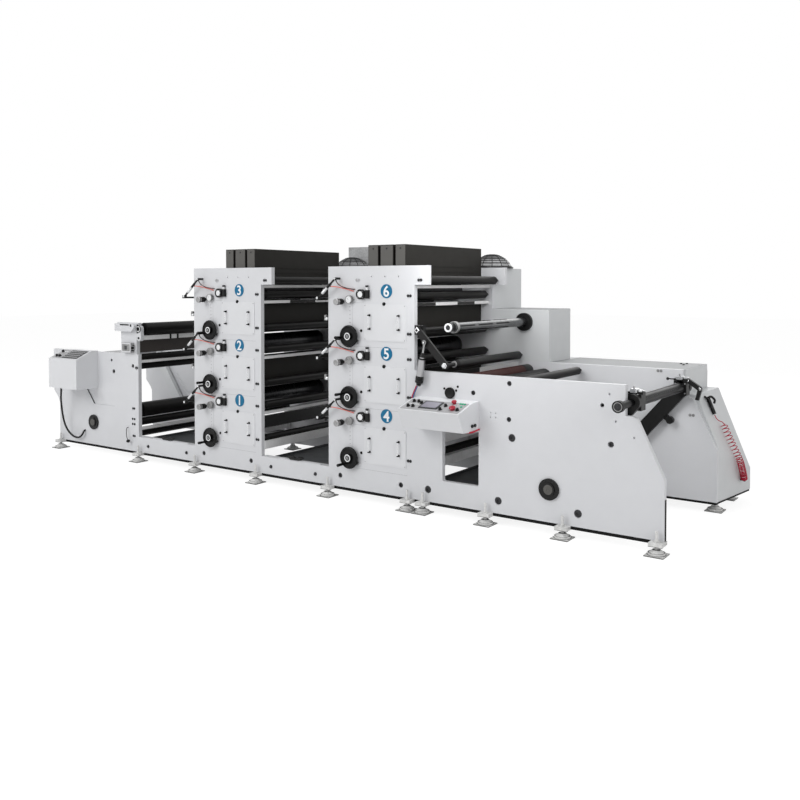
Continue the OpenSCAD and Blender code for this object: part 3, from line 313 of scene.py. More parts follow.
class Stock(Enum):
    """Every finish that the press is made in."""

    PLATE = Finish("light_grey_enamel", (0.635, 0.642, 0.662), Surface.ENAMEL, 0.38, 0.80)
    CABINET = Finish("cabinet_enamel", (0.62, 0.635, 0.645), Surface.ENAMEL, 0.42, 0.80)
    LID = Finish("cabinet_lid_paint", (0.300, 0.308, 0.314), Surface.POWDER, 0.55, 0.6)
    COVER = Finish("door_enamel", (0.665, 0.672, 0.690), Surface.ENAMEL, 0.36, 0.82)
    HOOD = Finish(
        "hood_powder_coat", (0.0125, 0.0115, 0.0095), Surface.POWDER, 0.60, 0.7, grime=0.16, gleam=0.22
    )
    HOOD_END = Finish(
        "hood_end_sheet", (0.085, 0.082, 0.076), Surface.POWDER, 0.5, 0.7, grime=0.3, gleam=0.35
    )
    TRAY = Finish("tray_enamel", (0.042, 0.045, 0.048), Surface.POWDER, 0.40, 0.6, grime=0.4)
    ROLLER = Finish(
        "roller_black", (0.0085, 0.0080, 0.0077), Surface.TURNED, 0.40, 0.6, bump=0.0001, gleam=0.11
    )
    RED_RUBBER = Finish("roller_rubber", (0.046, 0.0105, 0.0085), Surface.TURNED, 0.55, 0.6, gleam=0.2)
    PRINT_PLATE = Finish("printing_plate", (0.011, 0.0105, 0.0095), Surface.TURNED, 0.45, 0.7, gleam=0.22)
    ANILOX = Finish("engraved_ceramic", (0.016, 0.016, 0.017), Surface.TURNED, 0.38, 0.7, gleam=0.26)
    CHROME = Finish("polished_chrome", (0.46, 0.465, 0.47), Surface.TURNED, 0.20, 0.55, 1.0, bump=0.00005)
    IMPRESSION = Finish(
        "ground_cylinder", (0.070, 0.070, 0.073), Surface.TURNED, 0.24, 0.5, 0.75, bump=0.00005
    )
    SPINDLE = Finish("dark_chrome", (0.190, 0.193, 0.196), Surface.TURNED, 0.20, 0.4, 0.88, bump=0.00005)
    BRIGHT = Finish("bright_steel", (0.80, 0.81, 0.82), Surface.TURNED, 0.22, 0.85, 1.0)
    BAR = Finish("bright_bar", (0.86, 0.86, 0.86), Surface.ROLLED, 0.36, 0.9)
    DARK_STEEL = Finish("blued_steel", (0.0065, 0.0065, 0.0070), Surface.TURNED, 0.32, 0.5, 0.04, gleam=0.08)
    SHEET = Finish("guard_sheet", (0.060, 0.052, 0.048), Surface.POWDER, 0.5, 0.75, grime=0.3, gleam=0.3)
    # Near-black painted shade: strips under the plates' bottom edges, on the rewinder plate's end face and
    # under the end cover.
    EDGE = Finish("painted_underside_shade", (0.004, 0.004, 0.004), Surface.POWDER, 0.7, 0.8, gleam=0.15)
    STEEL = Finish("ground_steel", (0.46, 0.46, 0.47), Surface.TURNED, 0.30, 0.8, 1.0)
    ALUMINIUM = Finish("satin_aluminium", (0.70, 0.71, 0.72), Surface.ROLLED, 0.34, 0.85, 1.0)
    CAST = Finish("cast_aluminium", (0.36, 0.36, 0.36), Surface.ROLLED, 0.5, 0.65, 1.0)
    BLACK = Finish(
        "black_enamel", (0.0092, 0.0092, 0.0092), Surface.POWDER, 0.42, 0.7, grime=0.25, gleam=0.22
    )
    WHEEL = Finish("black_moulding", (0.0025, 0.0025, 0.0025), Surface.MOULDED, 0.24, 0.7, gleam=0.2)
    KNOB = Finish("knob_plastic", (0.0050, 0.0050, 0.0050), Surface.MOULDED, 0.36, 0.7, gleam=0.22)
    WHITE = Finish("white_plastic", (0.80, 0.81, 0.82), Surface.MOULDED, 0.35, 0.85)
    BLUE = Finish("blue_enamel", (0.0, 0.135, 0.27), Surface.GLOSS, 0.3, 0.8, gleam=0.3)
    RED = Finish("red_mushroom", (0.34, 0.006, 0.026), Surface.MOULDED, 0.3, 0.7)
    GREEN = Finish("green_lamp", (0.05, 0.35, 0.20), Surface.GLOSS, 0.25, 0.8)
    PANEL = Finish("panel_foil", (0.36, 0.36, 0.37), Surface.MOULDED, 0.45, 0.8)
    KEYS = Finish("key_foil", (0.05, 0.052, 0.055), Surface.MOULDED, 0.5, 0.7, gleam=0.3)
    SCREEN = Finish("screen_glass", (0.30, 0.29, 0.34), Surface.GLOSS, 0.14, 0.9)
    # Blackened steel of bolts and screws; the same near-black is also painted round the feet's pads and under
    # their flanges as shade.
    BOLT = Finish("blackened_steel_and_shade", (0.050, 0.050, 0.053), Surface.ROLLED, 0.38, 0.6, 0.7, gleam=0.35)
    HOLE = Finish("recess_shadow", (0.006, 0.006, 0.006), Surface.POWDER, 0.7, 0.7, gleam=0.15)
    SEAM = Finish("seam_shadow", (0.40, 0.41, 0.42), Surface.POWDER, 0.7, 0.8)
    HOSE_RED = Finish("red_hose", (0.46, 0.002, 0.030), Surface.SOFT, 0.28, 0.75, gleam=0.3)
    HOSE_PALE = Finish("salmon_hose", (0.70, 0.13, 0.10), Surface.SOFT, 0.3, 0.85, coat=0.1)
    HOSE_BLUE = Finish("blue_hose", (0.03, 0.10, 0.26), Surface.SOFT, 0.3, 0.75, coat=0.15)
    CABLE = Finish("black_cable", (0.004, 0.004, 0.004), Surface.SOFT, 0.42, 0.8, gleam=0.3)
    FOOT = Finish("foot_casting", (0.74, 0.74, 0.73), Surface.ROLLED, 0.5, 0.72, 0.1)
    # Dark grey painted on the foot plates' sides as shade; their tops keep the light casting colour.
    FOOT_PLATE = Finish("foot_plate", (0.20, 0.20, 0.195), Surface.ROLLED, 0.5, 0.5, 0.3)
    BLOWER = Finish("blower_sheet", (0.46, 0.465, 0.47), Surface.ROLLED, 0.45, 0.6, 0.2)
    VENT = Finish("vent_wire", (0.016, 0.016, 0.016), Surface.POWDER, 0.5, 0.7, gleam=0.3)


NODE_FINISHES: dict[Stock, tuple[str, ...]] = {
    Stock.PLATE: (
        "unwinder_near_plate", "unwinder_far_plate", "rewinder_near_plate", "rewinder_far_plate",
        "tower_1_near_plate", "tower_2_near_plate", "tower_1_far_plate", "tower_2_far_plate",
        "base_rails", "web_guide_frame",
    ),
    Stock.CABINET: ("tower_drive_cabinets", "rewinder_drive_cabinets", "unwinder_reel_arms"),
    Stock.COVER: ("access_doors", "main_console", "unwinder_control_box"),
    Stock.BLOWER: ("blower_covers",),
    Stock.FOOT: ("levelling_feet",),
    Stock.TRAY: ("drip_trays",),
    Stock.BLACK: (
        "tray_latches", "bearing_covers", "throw_off_levers", "winding_arms", "tension_arm", "spindle_socket",
    ),
    Stock.BAR: ("tie_bars",),
    Stock.SHEET: ("web_guide_sheet",),
    Stock.RED_RUBBER: ("rewinder_rubber_roller",),
    Stock.ROLLER: (
        "tower_guide_rollers", "unwinder_rollers", "rewinder_rollers", "web_guide_rollers",
        "metering_rollers",
    ),
    Stock.IMPRESSION: ("impression_cylinders",),
    Stock.PRINT_PLATE: ("plate_cylinders",),
    Stock.ANILOX: ("anilox_rollers",),
    Stock.STEEL: ("ink_pans", "unwind_shaft", "tension_cylinder"),
    Stock.DARK_STEEL: ("winding_shaft",),
    Stock.SPINDLE: ("reel_spindle",),
    Stock.CHROME: ("tension_rod",),
    Stock.BRIGHT: ("door_handles",),
    Stock.CAST: ("unit_gauges",),
    Stock.PANEL: ("web_guide_display",),
    Stock.KNOB: ("air_gun", "register_clamps", "unit_knobs"),
    Stock.WHEEL: tuple(f"handwheel_{number}" for number in range(1, 7)),
    Stock.BLUE: ("unit_number_discs",),
    Stock.HOOD: ("drying_hoods",),
    Stock.HOSE_PALE: ("unit_air_hoses",),
}


class Paintshop:
    """Keeps one material for each finish."""

    def __init__(self) -> None:
        """Starts with no material made."""
        self.made: dict[Stock, bpy.types.Material] = {}

    def get(self, stock: Stock) -> bpy.types.Material:
        """The material of a finish, made on first use.

        Args:
            stock: the finish.

        Returns:
            The material.
        """
        if stock not in self.made:
            self.made[stock] = stock.value.material()
        return self.made[stock]

    def dress(self) -> None:
        """Gives the CAD nodes their finishes through their objects' material slots."""
        for stock, names in NODE_FINISHES.items():
            for name in names:
                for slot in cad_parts[name].material_slots:
                    slot.link = "OBJECT"
                    slot.material = self.get(stock)


PAINT = Paintshop()


# ---- meshes ----


def basis(axis: Vector) -> tuple[Vector, Vector]:
    """Two unit vectors square to an axis.

    Args:
        axis: a unit vector.

    Returns:
        The vectors, right-handed with the axis.
    """
    helper = UP if abs(axis.z) < 0.9 else ALONG
    first = helper.cross(axis).normalized()
    return first, axis.cross(first)


class Shape:
    """Gathers the faces of one piece."""

    def __init__(self) -> None:
        """Starts an empty mesh."""
        self.mesh = bmesh.new()

    def ring(self, centre: Vector, first: Vector, second: Vector, radius: float, sides: int) -> list:
        """Adds the corners of a ring.

        Args:
            centre: its middle.
            first: unit vector towards its first corner.
            second: unit vector a quarter turn on.
            radius: its radius.
            sides: its corners.

        Returns:
            The corners.
        """
        turns = [math.tau * step / sides for step in range(sides)]
        spokes = [first * math.cos(turn) + second * math.sin(turn) for turn in turns]
        return [self.mesh.verts.new(centre + spoke * radius) for spoke in spokes]

    def data(self, name: str) -> bpy.types.Mesh:
        """Turns the gathered faces into mesh data, smooth up to the sharp angle.

        Args:
            name: the mesh's name.

        Returns:
            The mesh.
        """
        mesh = bpy.data.meshes.new(name)
        self.mesh.to_mesh(mesh)
        self.mesh.free()
        mesh.shade_smooth()
        mesh.set_sharp_from_angle(angle=SHARP)
        return mesh

    def box(self, low: Sequence[float], high: Sequence[float], bevel: float = 0.0) -> "Shape":
        """Adds a box with an optional bevel.

        Args:
            low: lowest corner.
            high: highest corner.
            bevel: width of the bevel.

        Returns:
            The shape itself.
        """
        middle = [(a + b) / 2 for a, b in zip(low, high)]
        size = [max(b - a, 1e-5) for a, b in zip(low, high)]
        matrix = Matrix.Translation(middle) @ Matrix.Diagonal((*size, 1.0))
        made = bmesh.ops.create_cube(self.mesh, size=1.0, matrix=matrix)
        if bevel:
            edges = list({edge for vert in made["verts"] for edge in vert.link_edges})
            width = min(bevel, min(size) * 0.45)
            bmesh.ops.bevel(self.mesh, geom=edges, offset=width, segments=2, affect="EDGES")
        return self

    def prism(self, outline: Sequence[Vector], shift: Vector) -> "Shape":
        """Adds a flat outline carried along a vector.

        Args:
            outline: corners in order.
            shift: how far and where it goes.

        Returns:
            The shape itself.
        """
        start = [self.mesh.verts.new(point) for point in outline]
        end = [self.mesh.verts.new(Vector(point) + shift) for point in outline]
        count = len(start)
        faces = [self.mesh.faces.new(start[::-1]), self.mesh.faces.new(end)]
        for index in range(count):
            after = (index + 1) % count
            faces.append(self.mesh.faces.new((start[index], start[after], end[after], end[index])))
        bmesh.ops.recalc_face_normals(self.mesh, faces=faces)
        return self

    def lathe(self, centre: Sequence[float], axis: Vector, profile: Sequence, sides: int = 24) -> "Shape":
        """Adds a turned part; a profile that comes back to its start gives a ring.

        Args:
            centre: where height zero lies.
            axis: unit vector of the turning axis.
            profile: radius and height of each point, in metres.
            sides: facets around.

        Returns:
            The shape itself.
        """
        origin = Vector(centre)
        first, second = basis(axis)
        closed = profile[0] == profile[-1]
        points = profile[:-1] if closed else profile
        rings = []
        for radius, height in points:
            centre = origin + axis * height
            if radius < 1e-7:
                rings.append([self.mesh.verts.new(centre)])
            else:
                rings.append(self.ring(centre, first, second, radius, sides))
        pairs = list(zip(rings, rings[1:]))
        if closed:
            pairs.append((rings[-1], rings[0]))
        faces = []
        for low, high in pairs:
            for step in range(sides):
                after = (step + 1) % sides
                corners = ((low, step), (low, after), (high, after), (high, step))
                unique = list(dict.fromkeys(edge[turn % len(edge)] for edge, turn in corners))
                if len(unique) > 2:
                    faces.append(self.mesh.faces.new(unique))
        bmesh.ops.recalc_face_normals(self.mesh, faces=faces)
        return self

    def rod(self, centre: Sequence[float], axis: Vector, length: float, radius: float) -> "Shape":
        """Adds a round bar with chamfered ends.

        Args:
            centre: middle of its starting end.
            axis: unit vector along it.
            length: its length.
            radius: its radius.

        Returns:
            The shape itself.
        """
        edge = min(radius, length) * 0.08
        inner = radius - edge
        start = [(0.0, 0.0), (inner, 0.0), (radius, edge)]
        return self.lathe(centre, axis, start + [(radius, length - edge), (inner, length), (0.0, length)])

    def tube(self, path: Sequence[Vector], radius: float, sides: int = 10) -> "Shape":
        """Adds a round tube along a path, with closed ends.

        Args:
            path: points of its centre line.
            radius: its radius.
            sides: facets around.

        Returns:
            The shape itself.
        """
        points = [Vector(point) for point in path]
        last = len(points) - 1
        normal = None
        rings = []
        for index, point in enumerate(points):
            ahead = (points[min(index + 1, last)] - points[max(index - 1, 0)]).normalized()
            normal = basis(ahead)[0] if normal is None else (normal - ahead * normal.dot(ahead)).normalized()
            side = ahead.cross(normal)
            rings.append(self.ring(point, normal, side, radius, sides))
        faces = [self.mesh.faces.new(rings[0][::-1]), self.mesh.faces.new(rings[-1])]
        for low, high in zip(rings, rings[1:]):
            for step in range(sides):
                after = (step + 1) % sides
                faces.append(self.mesh.faces.new((low[step], low[after], high[after], high[step])))
        bmesh.ops.recalc_face_normals(self.mesh, faces=faces)
        return self

    def piece(self, name: str, stock: Stock, body: str = "root", slot: str | None = None) -> bpy.types.Object:
        """Makes the gathered faces an object that rides on a body.

        Args:
            name: the piece's name.
            stock: its finish.
            body: the CAD body that it moves with.
            slot: the record's material slot, where one is named; not used.

        Returns:
            The object.
        """
        mesh = self.data(name)
        mesh.materials.append(PAINT.get(stock))
        made = bpy.data.objects.new(name, mesh)
        bpy.context.scene.collection.objects.link(made)
        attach(made, body)
        log.info("piece %s on %s", name, body)
        return made


@dataclass
class Repeater:
    """A Geometry Nodes tree that sets copies of a small part on turned points.

    Attributes:
        seed: fixed seed of the copies' spin.
        spin: largest spin of a copy about its own axis, in degrees.
    """

    seed: int = 7
    spin: float = 60.0
    tree: bpy.types.NodeTree = field(init=False)
    sockets: dict[str, str] = field(init=False)

    def __post_init__(self) -> None:
        """Builds the tree once."""
        tree = bpy.data.node_groups.new("repeat_part_on_points", "GeometryNodeTree")
        face = tree.interface
        face.new_socket("Geometry", in_out="INPUT", socket_type="NodeSocketGeometry")
        self.sockets = {
            name: face.new_socket(name, in_out="INPUT", socket_type=f"NodeSocket{kind}").identifier
            for name, kind in (("Part", "Object"), ("Largest Spin", "Float"), ("Finish", "Material"))
        }
        face.new_socket("Geometry", in_out="OUTPUT", socket_type="NodeSocketGeometry")
        start, end, points, info, turn, put, chance, euler, rotate, real, paint = (
            tree.nodes.new(kind)
            for kind in (
                "NodeGroupInput", "NodeGroupOutput", "GeometryNodeMeshToPoints", "GeometryNodeObjectInfo",
                "GeometryNodeInputNamedAttribute", "GeometryNodeInstanceOnPoints", "FunctionNodeRandomValue",
                "ShaderNodeCombineXYZ", "GeometryNodeRotateInstances", "GeometryNodeRealizeInstances",
                "GeometryNodeSetMaterial",
            )
        )
        turn.data_type = "FLOAT_VECTOR"
        turn.inputs["Name"].default_value = "turn"
        chance.data_type = "FLOAT"
        chance.inputs["Seed"].default_value = self.seed
        for source, out, target, into in (
            (start, "Geometry", points, "Mesh"),
            (points, "Points", put, "Points"),
            (start, "Part", info, "Object"),
            (info, "Geometry", put, "Instance"),
            (turn, 0, put, "Rotation"),
            (start, "Largest Spin", chance, 3),
            (chance, 1, euler, "Z"),
            (put, "Instances", rotate, "Instances"),
            (euler, 0, rotate, "Rotation"),
            (rotate, "Instances", real, "Geometry"),
            (real, "Geometry", paint, "Geometry"),
            (start, "Finish", paint, "Material"),
            (paint, "Geometry", end, "Geometry"),
        ):
            tree.links.new(source.outputs[out], target.inputs[into])
        self.tree = tree

    @staticmethod
    def turn(axis: Vector, lay: Vector | None) -> Euler:
        """Turns +Z onto an axis, with +Y near a lay direction.

        Args:
            axis: unit vector for the part's own Z.
            lay: direction for its own Y, or None.

        Returns:
            The turn.
        """
        if lay is None:
            return axis.to_track_quat("Z", "Y").to_euler()
        across = lay.cross(axis).normalized()
        return Matrix((across, axis.cross(across), axis)).transposed().to_euler()

    def set_out(
        self,
        name: str,
        part: Shape,
        places: Sequence[tuple[Sequence[float], Vector]],
        stock: Stock,
        body: str = "root",
        spin: float | None = None,
        lay: Vector | None = None,
    ) -> bpy.types.Object:
        """Sets copies of a part, whose own axis is +Z, on points along given axes.

        Args:
            name: the piece's name.
            part: the part, made about the origin.
            places: point and axis of each copy.
            stock: the finish of all copies.
            body: the CAD body that the piece moves with.
            spin: largest spin in degrees, or the repeater's own.
            lay: direction that the part's own Y keeps to, where that matters.

        Returns:
            One plain mesh object.
        """
        source = bpy.data.objects.new(name + "_source", part.data(name + "_source"))
        cloud = bpy.data.meshes.new(name + "_points")
        cloud.from_pydata([tuple(point) for point, _ in places], [], [])
        turns = cloud.attributes.new("turn", "FLOAT_VECTOR", "POINT")
        for index, (_, axis) in enumerate(places):
            turns.data[index].vector = self.turn(axis, lay)
        carrier = bpy.data.objects.new(name + "_carrier", cloud)
        for item in (source, carrier):
            bpy.context.scene.collection.objects.link(item)
        modifier = carrier.modifiers.new("repeat", "NODES")
        modifier.node_group = self.tree
        modifier[self.sockets["Part"]] = source
        modifier[self.sockets["Largest Spin"]] = math.radians(self.spin if spin is None else spin)
        modifier[self.sockets["Finish"]] = PAINT.get(stock)
        evaluated = carrier.evaluated_get(bpy.context.evaluated_depsgraph_get())
        mesh = bpy.data.meshes.new_from_object(evaluated)
        mesh.name = name
        for item in (source, carrier):
            bpy.data.objects.remove(item)
        made = bpy.data.objects.new(name, mesh)
        bpy.context.scene.collection.objects.link(made)
        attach(made, body)
        log.info("piece %s on %s, %d copies", name, body, len(places))
        return made


REPEAT = Repeater()


def mm(*points: tuple[float, float]) -> list[tuple[float, float]]:
    """A profile for a lathe, in metres, from radius and height of each point in millimetres."""
    return [(radius / 1000, height / 1000) for radius, height in points]


def around(degrees: float, reach: float = 1.0) -> Vector:
    """A vector square to the cross axis, turned from +X towards +Z."""
    angle = math.radians(degrees)
    return Vector((reach * math.cos(angle), 0.0, reach * math.sin(angle)))


def turned(profile: Sequence[tuple[float, float]], sides: int) -> Shape:
    """A turned part about the origin, axis +Z."""
    return Shape().lathe((0, 0, 0), UP, profile, sides)


def turned_piece(
    name: str, stock: Stock, body: str, centre: Sequence[float], axis: Vector, profile: Sequence, sides: int
) -> None:
    """Makes a piece of one part turned about an axis, from a profile in metres."""
    Shape().lathe(centre, axis, profile, sides).piece(name, stock, body)


def cap_screw(radius: float, height: float) -> Shape:
    """A socket head screw about the origin, with its recess, axis +Z.

    Args:
        radius: radius of the head.
        height: height of the head.

    Returns:
        The shape.
    """
    socket, floor = radius * 0.5, height * 0.35
    rim = [(radius, 0.0), (radius, height * 0.82), (radius * 0.86, height)]
    return turned(rim + [(socket, height), (socket, floor), (0.0, floor)], 14)


def hex_bolt(radius: float, height: float) -> Shape:
    """A hexagon head on a washer about the origin, axis +Z.

    Args:
        radius: radius over the corners.
        height: height over the washer.

    Returns:
        The shape.
    """
    flange, foot = radius * 1.25, height * 0.2
    head = [(radius, foot), (radius, height * 0.9), (radius * 0.85, height), (0, height)]
    return turned([(flange, 0), (flange, foot), (0, foot)], 18).lathe((0, 0, 0), UP, head, 6)


@dataclass(frozen=True)
class Layout:
    """Datum positions of the press in metres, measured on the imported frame.

    Edges are left edges, but for rewinder_end. The near and far faces are those towards the operator,
    and unit_top is the height of the upper units' disc centres, from which the decks go down by pitch.
    """

    unwinder_x: float
    bay_1_x: float
    towers: tuple[float, float]
    bay_2_x: float
    rewinder_x: float
    rewinder_end: float
    near_y: float
    far_y: float
    unit_top: float
    pitch: float
    tower_top: float

    @classmethod
    def measure(cls) -> "Layout":
        """Reads the datums from the CAD nodes' boxes.

        Returns:
            The layout.
        """
        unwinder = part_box("unwinder_near_plate")
        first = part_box("tower_1_near_plate")
        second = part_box("tower_2_near_plate")
        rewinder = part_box("rewinder_near_plate")
        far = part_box("rewinder_far_plate")
        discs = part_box("unit_number_discs")
        return cls(
            unwinder_x=unwinder[0][0],
            bay_1_x=unwinder[1][0],
            towers=(first[0][0], second[0][0]),
            bay_2_x=first[0][0] + TOWER_WIDTH,
            rewinder_x=rewinder[0][0],
            rewinder_end=rewinder[1][0],
            near_y=unwinder[0][1],
            far_y=far[0][1],
            unit_top=discs[1][2] - DISC_RADIUS,
            pitch=(discs[1][2] - discs[0][2] - 2 * DISC_RADIUS) / 2,
            tower_top=first[1][2],
        )

    def units(self) -> list[tuple[int, float, float]]:
        """Lists the printing units, each tower from the top down.

        Returns:
            Number, left edge and datum height of each.
        """
        return [
            (3 * tower + 3 - deck, edge, self.unit_top - deck * self.pitch)
            for tower, edge in enumerate(self.towers)
            for deck in (0, 1, 2)
        ]


LAYOUT = Layout.measure()


def near_point(x: float, z: float, out: float = 0.0) -> Vector:
    """A point in front of the near plates' outer face, or behind it where out is negative."""
    return Vector((x, LAYOUT.near_y - out, z))


def near_place(x: float, z: float, out: float = 0.0) -> Place:
    """Such a point with the direction towards the operator."""
    return near_point(x, z, out), NEAR


def unit_points(x: float, dz: float, out: float = 0.0) -> list[Vector]:
    """The same point on all units, from the tower's edge, the unit's datum and the near plate."""
    return [near_point(edge + x, datum + dz, out) for _, edge, datum in LAYOUT.units()]


def unit_places(x: float, dz: float, out: float = 0.0) -> list[Place]:
    """Such points with the direction towards the operator."""
    return [(point, NEAR) for point in unit_points(x, dz, out)]


# ---- cords ----


def smooth(route: Sequence[Sequence[float]], steps: int, base: Sequence[float] = (0, 0, 0)) -> list[Vector]:
    """A smooth path through points.

    Args:
        route: the points, from the base.
        steps: pieces that each span is cut into.
        base: where the points are counted from.

    Returns:
        The path, with the last point.
    """
    points = [Vector(base) + Vector(point) for point in route]
    last = len(points) - 1
    path = []
    for index in range(last):
        a, b, c, d = (points[min(max(index + shift, 0), last)] for shift in (-1, 0, 1, 2))
        for step in range(steps):
            t = step / steps
            square, cube = 2 * a - 5 * b + 4 * c - d, 3 * b - a - 3 * c + d
            path.append(0.5 * (2 * b + (c - a) * t + square * t * t + cube * t * t * t))
    path.append(points[last])
    return path


def length_of(path: Sequence[Vector]) -> float:
    """Length of a path in metres."""
    return sum((b - a).length for a, b in zip(path, path[1:]))


@dataclass
class Cords:
    """The control box's cable and the blow gun's coiled hose.

    Routes are in metres. The coil's line is the middle of its turns, which close up towards the lower end.
    """

    cable: tuple[Point, ...] = (
        (-3.133, -0.950, 0.6993), (-3.133, -0.950, 0.660), (-3.140, -0.948, 0.610),
        (-3.158, -0.938, 0.560), (-3.176, -0.921, 0.500), (-3.190, -0.906, 0.440),
        (-3.196, -0.893, 0.380), (-3.194, -0.882, 0.320), (-3.182, -0.870, 0.262),
        (-3.158, -0.858, 0.212), (-3.122, -0.847, 0.174), (-3.076, -0.840, 0.150),
        (-3.026, -0.836, 0.142), (-2.978, -0.834, 0.152), (-2.944, -0.830, 0.178),
        (-2.932, -0.820, 0.208), (-2.932, -0.806, 0.222), (-2.932, -0.7979, 0.224),
    )
    lead: tuple[Point, ...] = (
        (3.319, 0.669, 0.747), (3.326, 0.669, 0.730), (3.336, 0.674, 0.713), (3.349, 0.686, 0.699),
        (3.361, 0.702, 0.691), (3.369, 0.720, 0.684), (3.371, 0.733, 0.672),
    )
    coil: tuple[Point, ...] = (
        (3.371, 0.735, 0.669), (3.425, 0.755, 0.535), (3.484, 0.785, 0.390),
        (3.497, 0.830, 0.300), (3.500, 0.885, 0.211),
    )
    turns: int = 27
    per_turn: int = 16
    closing: float = 1.35
    cable_radius: float = 0.010
    hose_radius: float = 0.0033
    coil_radius: float = 0.0257

    def build(self) -> None:
        path = smooth(self.cable, 4)
        shape = Shape().tube(path, self.cable_radius, 16)
        cable = shape.piece("control_cable_run", Stock.CABLE, slot="control_box_cable")
        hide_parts("control_box_cable")
        length_of(path)
        route = smooth(self.lead, 3)[:-1] + self.helix(smooth(self.coil, 40))
        shape = Shape().tube(route, self.hose_radius, 8)
        hose = shape.piece("coiled_air_hose", Stock.HOSE_RED, slot="air_gun_coil")
        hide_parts("air_gun_lead", "air_gun_coil")
        length_of(route)

    def helix(self, spine: Sequence[Vector]) -> list[Vector]:
        """Winds the hose around a spine; the turns close up towards the lower end.

        Args:
            spine: centre line of the coil.

        Returns:
            The wound path.
        """
        total = self.turns * self.per_turn
        path = []
        for index in range(total + 1):
            along = 1.0 - (1.0 - index / total) ** self.closing
            place = along * (len(spine) - 1)
            low = min(int(place), len(spine) - 2)
            centre = spine[low].lerp(spine[low + 1], place - low)
            ahead = (spine[min(low + 2, len(spine) - 1)] - spine[max(low - 1, 0)]).normalized()
            first = (ACROSS - ahead * ahead.y).normalized()
            second = ahead.cross(first)
            angle = math.tau * index / self.per_turn
            reach = self.coil_radius * min(1.0, index / 10, (total - index + 2) / 10)
            path.append(centre + first * (reach * math.cos(angle)) + second * (reach * math.sin(angle)))
        return path


# ---- camera, lamps and floor ----


@dataclass
class Studio:
    """Camera, lamps, world and floor; yaw turns towards -X and pitch tilts below the horizon, in degrees."""

    eye: Point = (5.284, -6.437, 1.807)
    yaw: float = 34.57
    pitch: float = 1.42
    lens: float = 38.95
    sensor: float = 36.0
    shift: tuple[float, float] = (-0.0197, -0.1189)
    sky: float = 0.50
    glow: float = 1.20
    glow_share: float = 0.72
    floor_half: float = 40.0

    def camera(self) -> None:
        """Sets the camera."""
        data = bpy.data.cameras.new("camera")
        data.lens = self.lens
        data.sensor_width = self.sensor
        data.shift_x, data.shift_y = self.shift
        data.clip_end = 100.0
        made = bpy.data.objects.new("camera", data)
        made.location = self.eye
        made.rotation_euler = Euler((math.radians(90 - self.pitch), 0.0, math.radians(self.yaw)), "XYZ")
        bpy.context.scene.collection.objects.link(made)
        bpy.context.scene.camera = made

    def lamp(self, name: str, place: Point, aim: Point, size: float, power: float) -> None:
        """Adds a square area lamp.

        Args:
            name: its name.
            place: where it stands.
            aim: what it points at.
            size: its side.
            power: its power in watts.
        """
        data = bpy.data.lights.new(name, "AREA")
        data.shape = "SQUARE"
        data.size = size
        data.energy = power
        made = bpy.data.objects.new(name, data)
        made.location = place
        made.visible_camera = False
        made.rotation_euler = (Vector(aim) - Vector(place)).to_track_quat("-Z", "Y").to_euler()
        bpy.context.scene.collection.objects.link(made)

    def lights(self) -> None:
        """Sets the lamps."""
        self.lamp("key_lamp", (-3.5, -9.0, 6.5), (0.0, -0.5, 0.9), 6.0, 490.0)
        self.lamp("fill_lamp", (8.5, -4.5, 4.0), (1.5, 0.0, 0.9), 5.0, 120.0)
        self.lamp("top_lamp", (0.0, 0.5, 8.0), (0.0, 0.0, 0.0), 7.0, 25.0)
        self.lamp("back_lamp", (1.0, 9.0, 5.5), (0.0, 0.0, 1.0), 6.0, 170.0)
        self.lamp("deck_lamp", (2.2, -0.95, 2.35), (2.2, 0.55, 1.25), 1.2, 17.0)

    def seen(self, graph: Graph) -> Value:
        """Tells the rays of camera, mirrors and glass from the others.

        Args:
            graph: the tree that uses it.

        Returns:
            One for those rays, otherwise zero.
        """
        path = graph.node("ShaderNodeLightPath")
        total = Value(graph, path.outputs["Is Camera Ray"]) + Value(graph, path.outputs["Is Glossy Ray"])
        return (total + Value(graph, path.outputs["Is Transmission Ray"])).clamp()

    def world(self) -> None:
        """Gives a white background that lights the object softly."""
        graph = Graph(bpy.data.worlds.new("studio_world"))
        white = (1.0, 1.0, 1.0, 1.0)
        soft = graph.node("ShaderNodeBackground", {0: white, 1: self.sky})
        plain = graph.node("ShaderNodeBackground", {0: white, 1: 1.0})
        inputs = {0: self.seen(graph), 1: soft.outputs[0], 2: plain.outputs[0]}
        mixed = graph.node("ShaderNodeMixShader", inputs)
        graph.node("ShaderNodeOutputWorld", {0: mixed.outputs[0]})
        bpy.context.scene.world = graph.owner

    def floor(self) -> None:
        """Lays the pale floor, which keeps a soft shadow."""
        graph = Graph(bpy.data.materials.new("studio_floor"))
        fine = graph.noise(2.0, 3.0)
        colour = graph.mix(fine, (0.86, 0.86, 0.86), (0.90, 0.90, 0.90))
        matt = graph.node("ShaderNodeBsdfDiffuse", {"Color": colour})
        glow = graph.node("ShaderNodeEmission", {"Color": (1.0, 1.0, 1.0, 1.0), "Strength": self.glow})
        share = self.seen(graph) * self.glow_share
        mixed = graph.node("ShaderNodeMixShader", {0: share, 1: matt.outputs[0], 2: glow.outputs[0]})
        graph.node("ShaderNodeOutputMaterial", {"Surface": mixed.outputs[0]})
        mesh = bpy.data.meshes.new("studio_floor")
        half = self.floor_half
        corners = [(-half, -half, 0.0), (half, -half, 0.0), (half, half, 0.0), (-half, half, 0.0)]
        mesh.from_pydata(corners, [], [(0, 1, 2, 3)])
        mesh.materials.append(graph.owner)
        made = bpy.data.objects.new("studio_floor", mesh)
        bpy.context.scene.collection.objects.link(made)

    def build(self) -> None:
        """Sets all but the camera."""
        bpy.context.scene.view_settings.view_transform = "Standard"
        self.lights()
        self.world()
        self.floor()


# ---- printing units ----


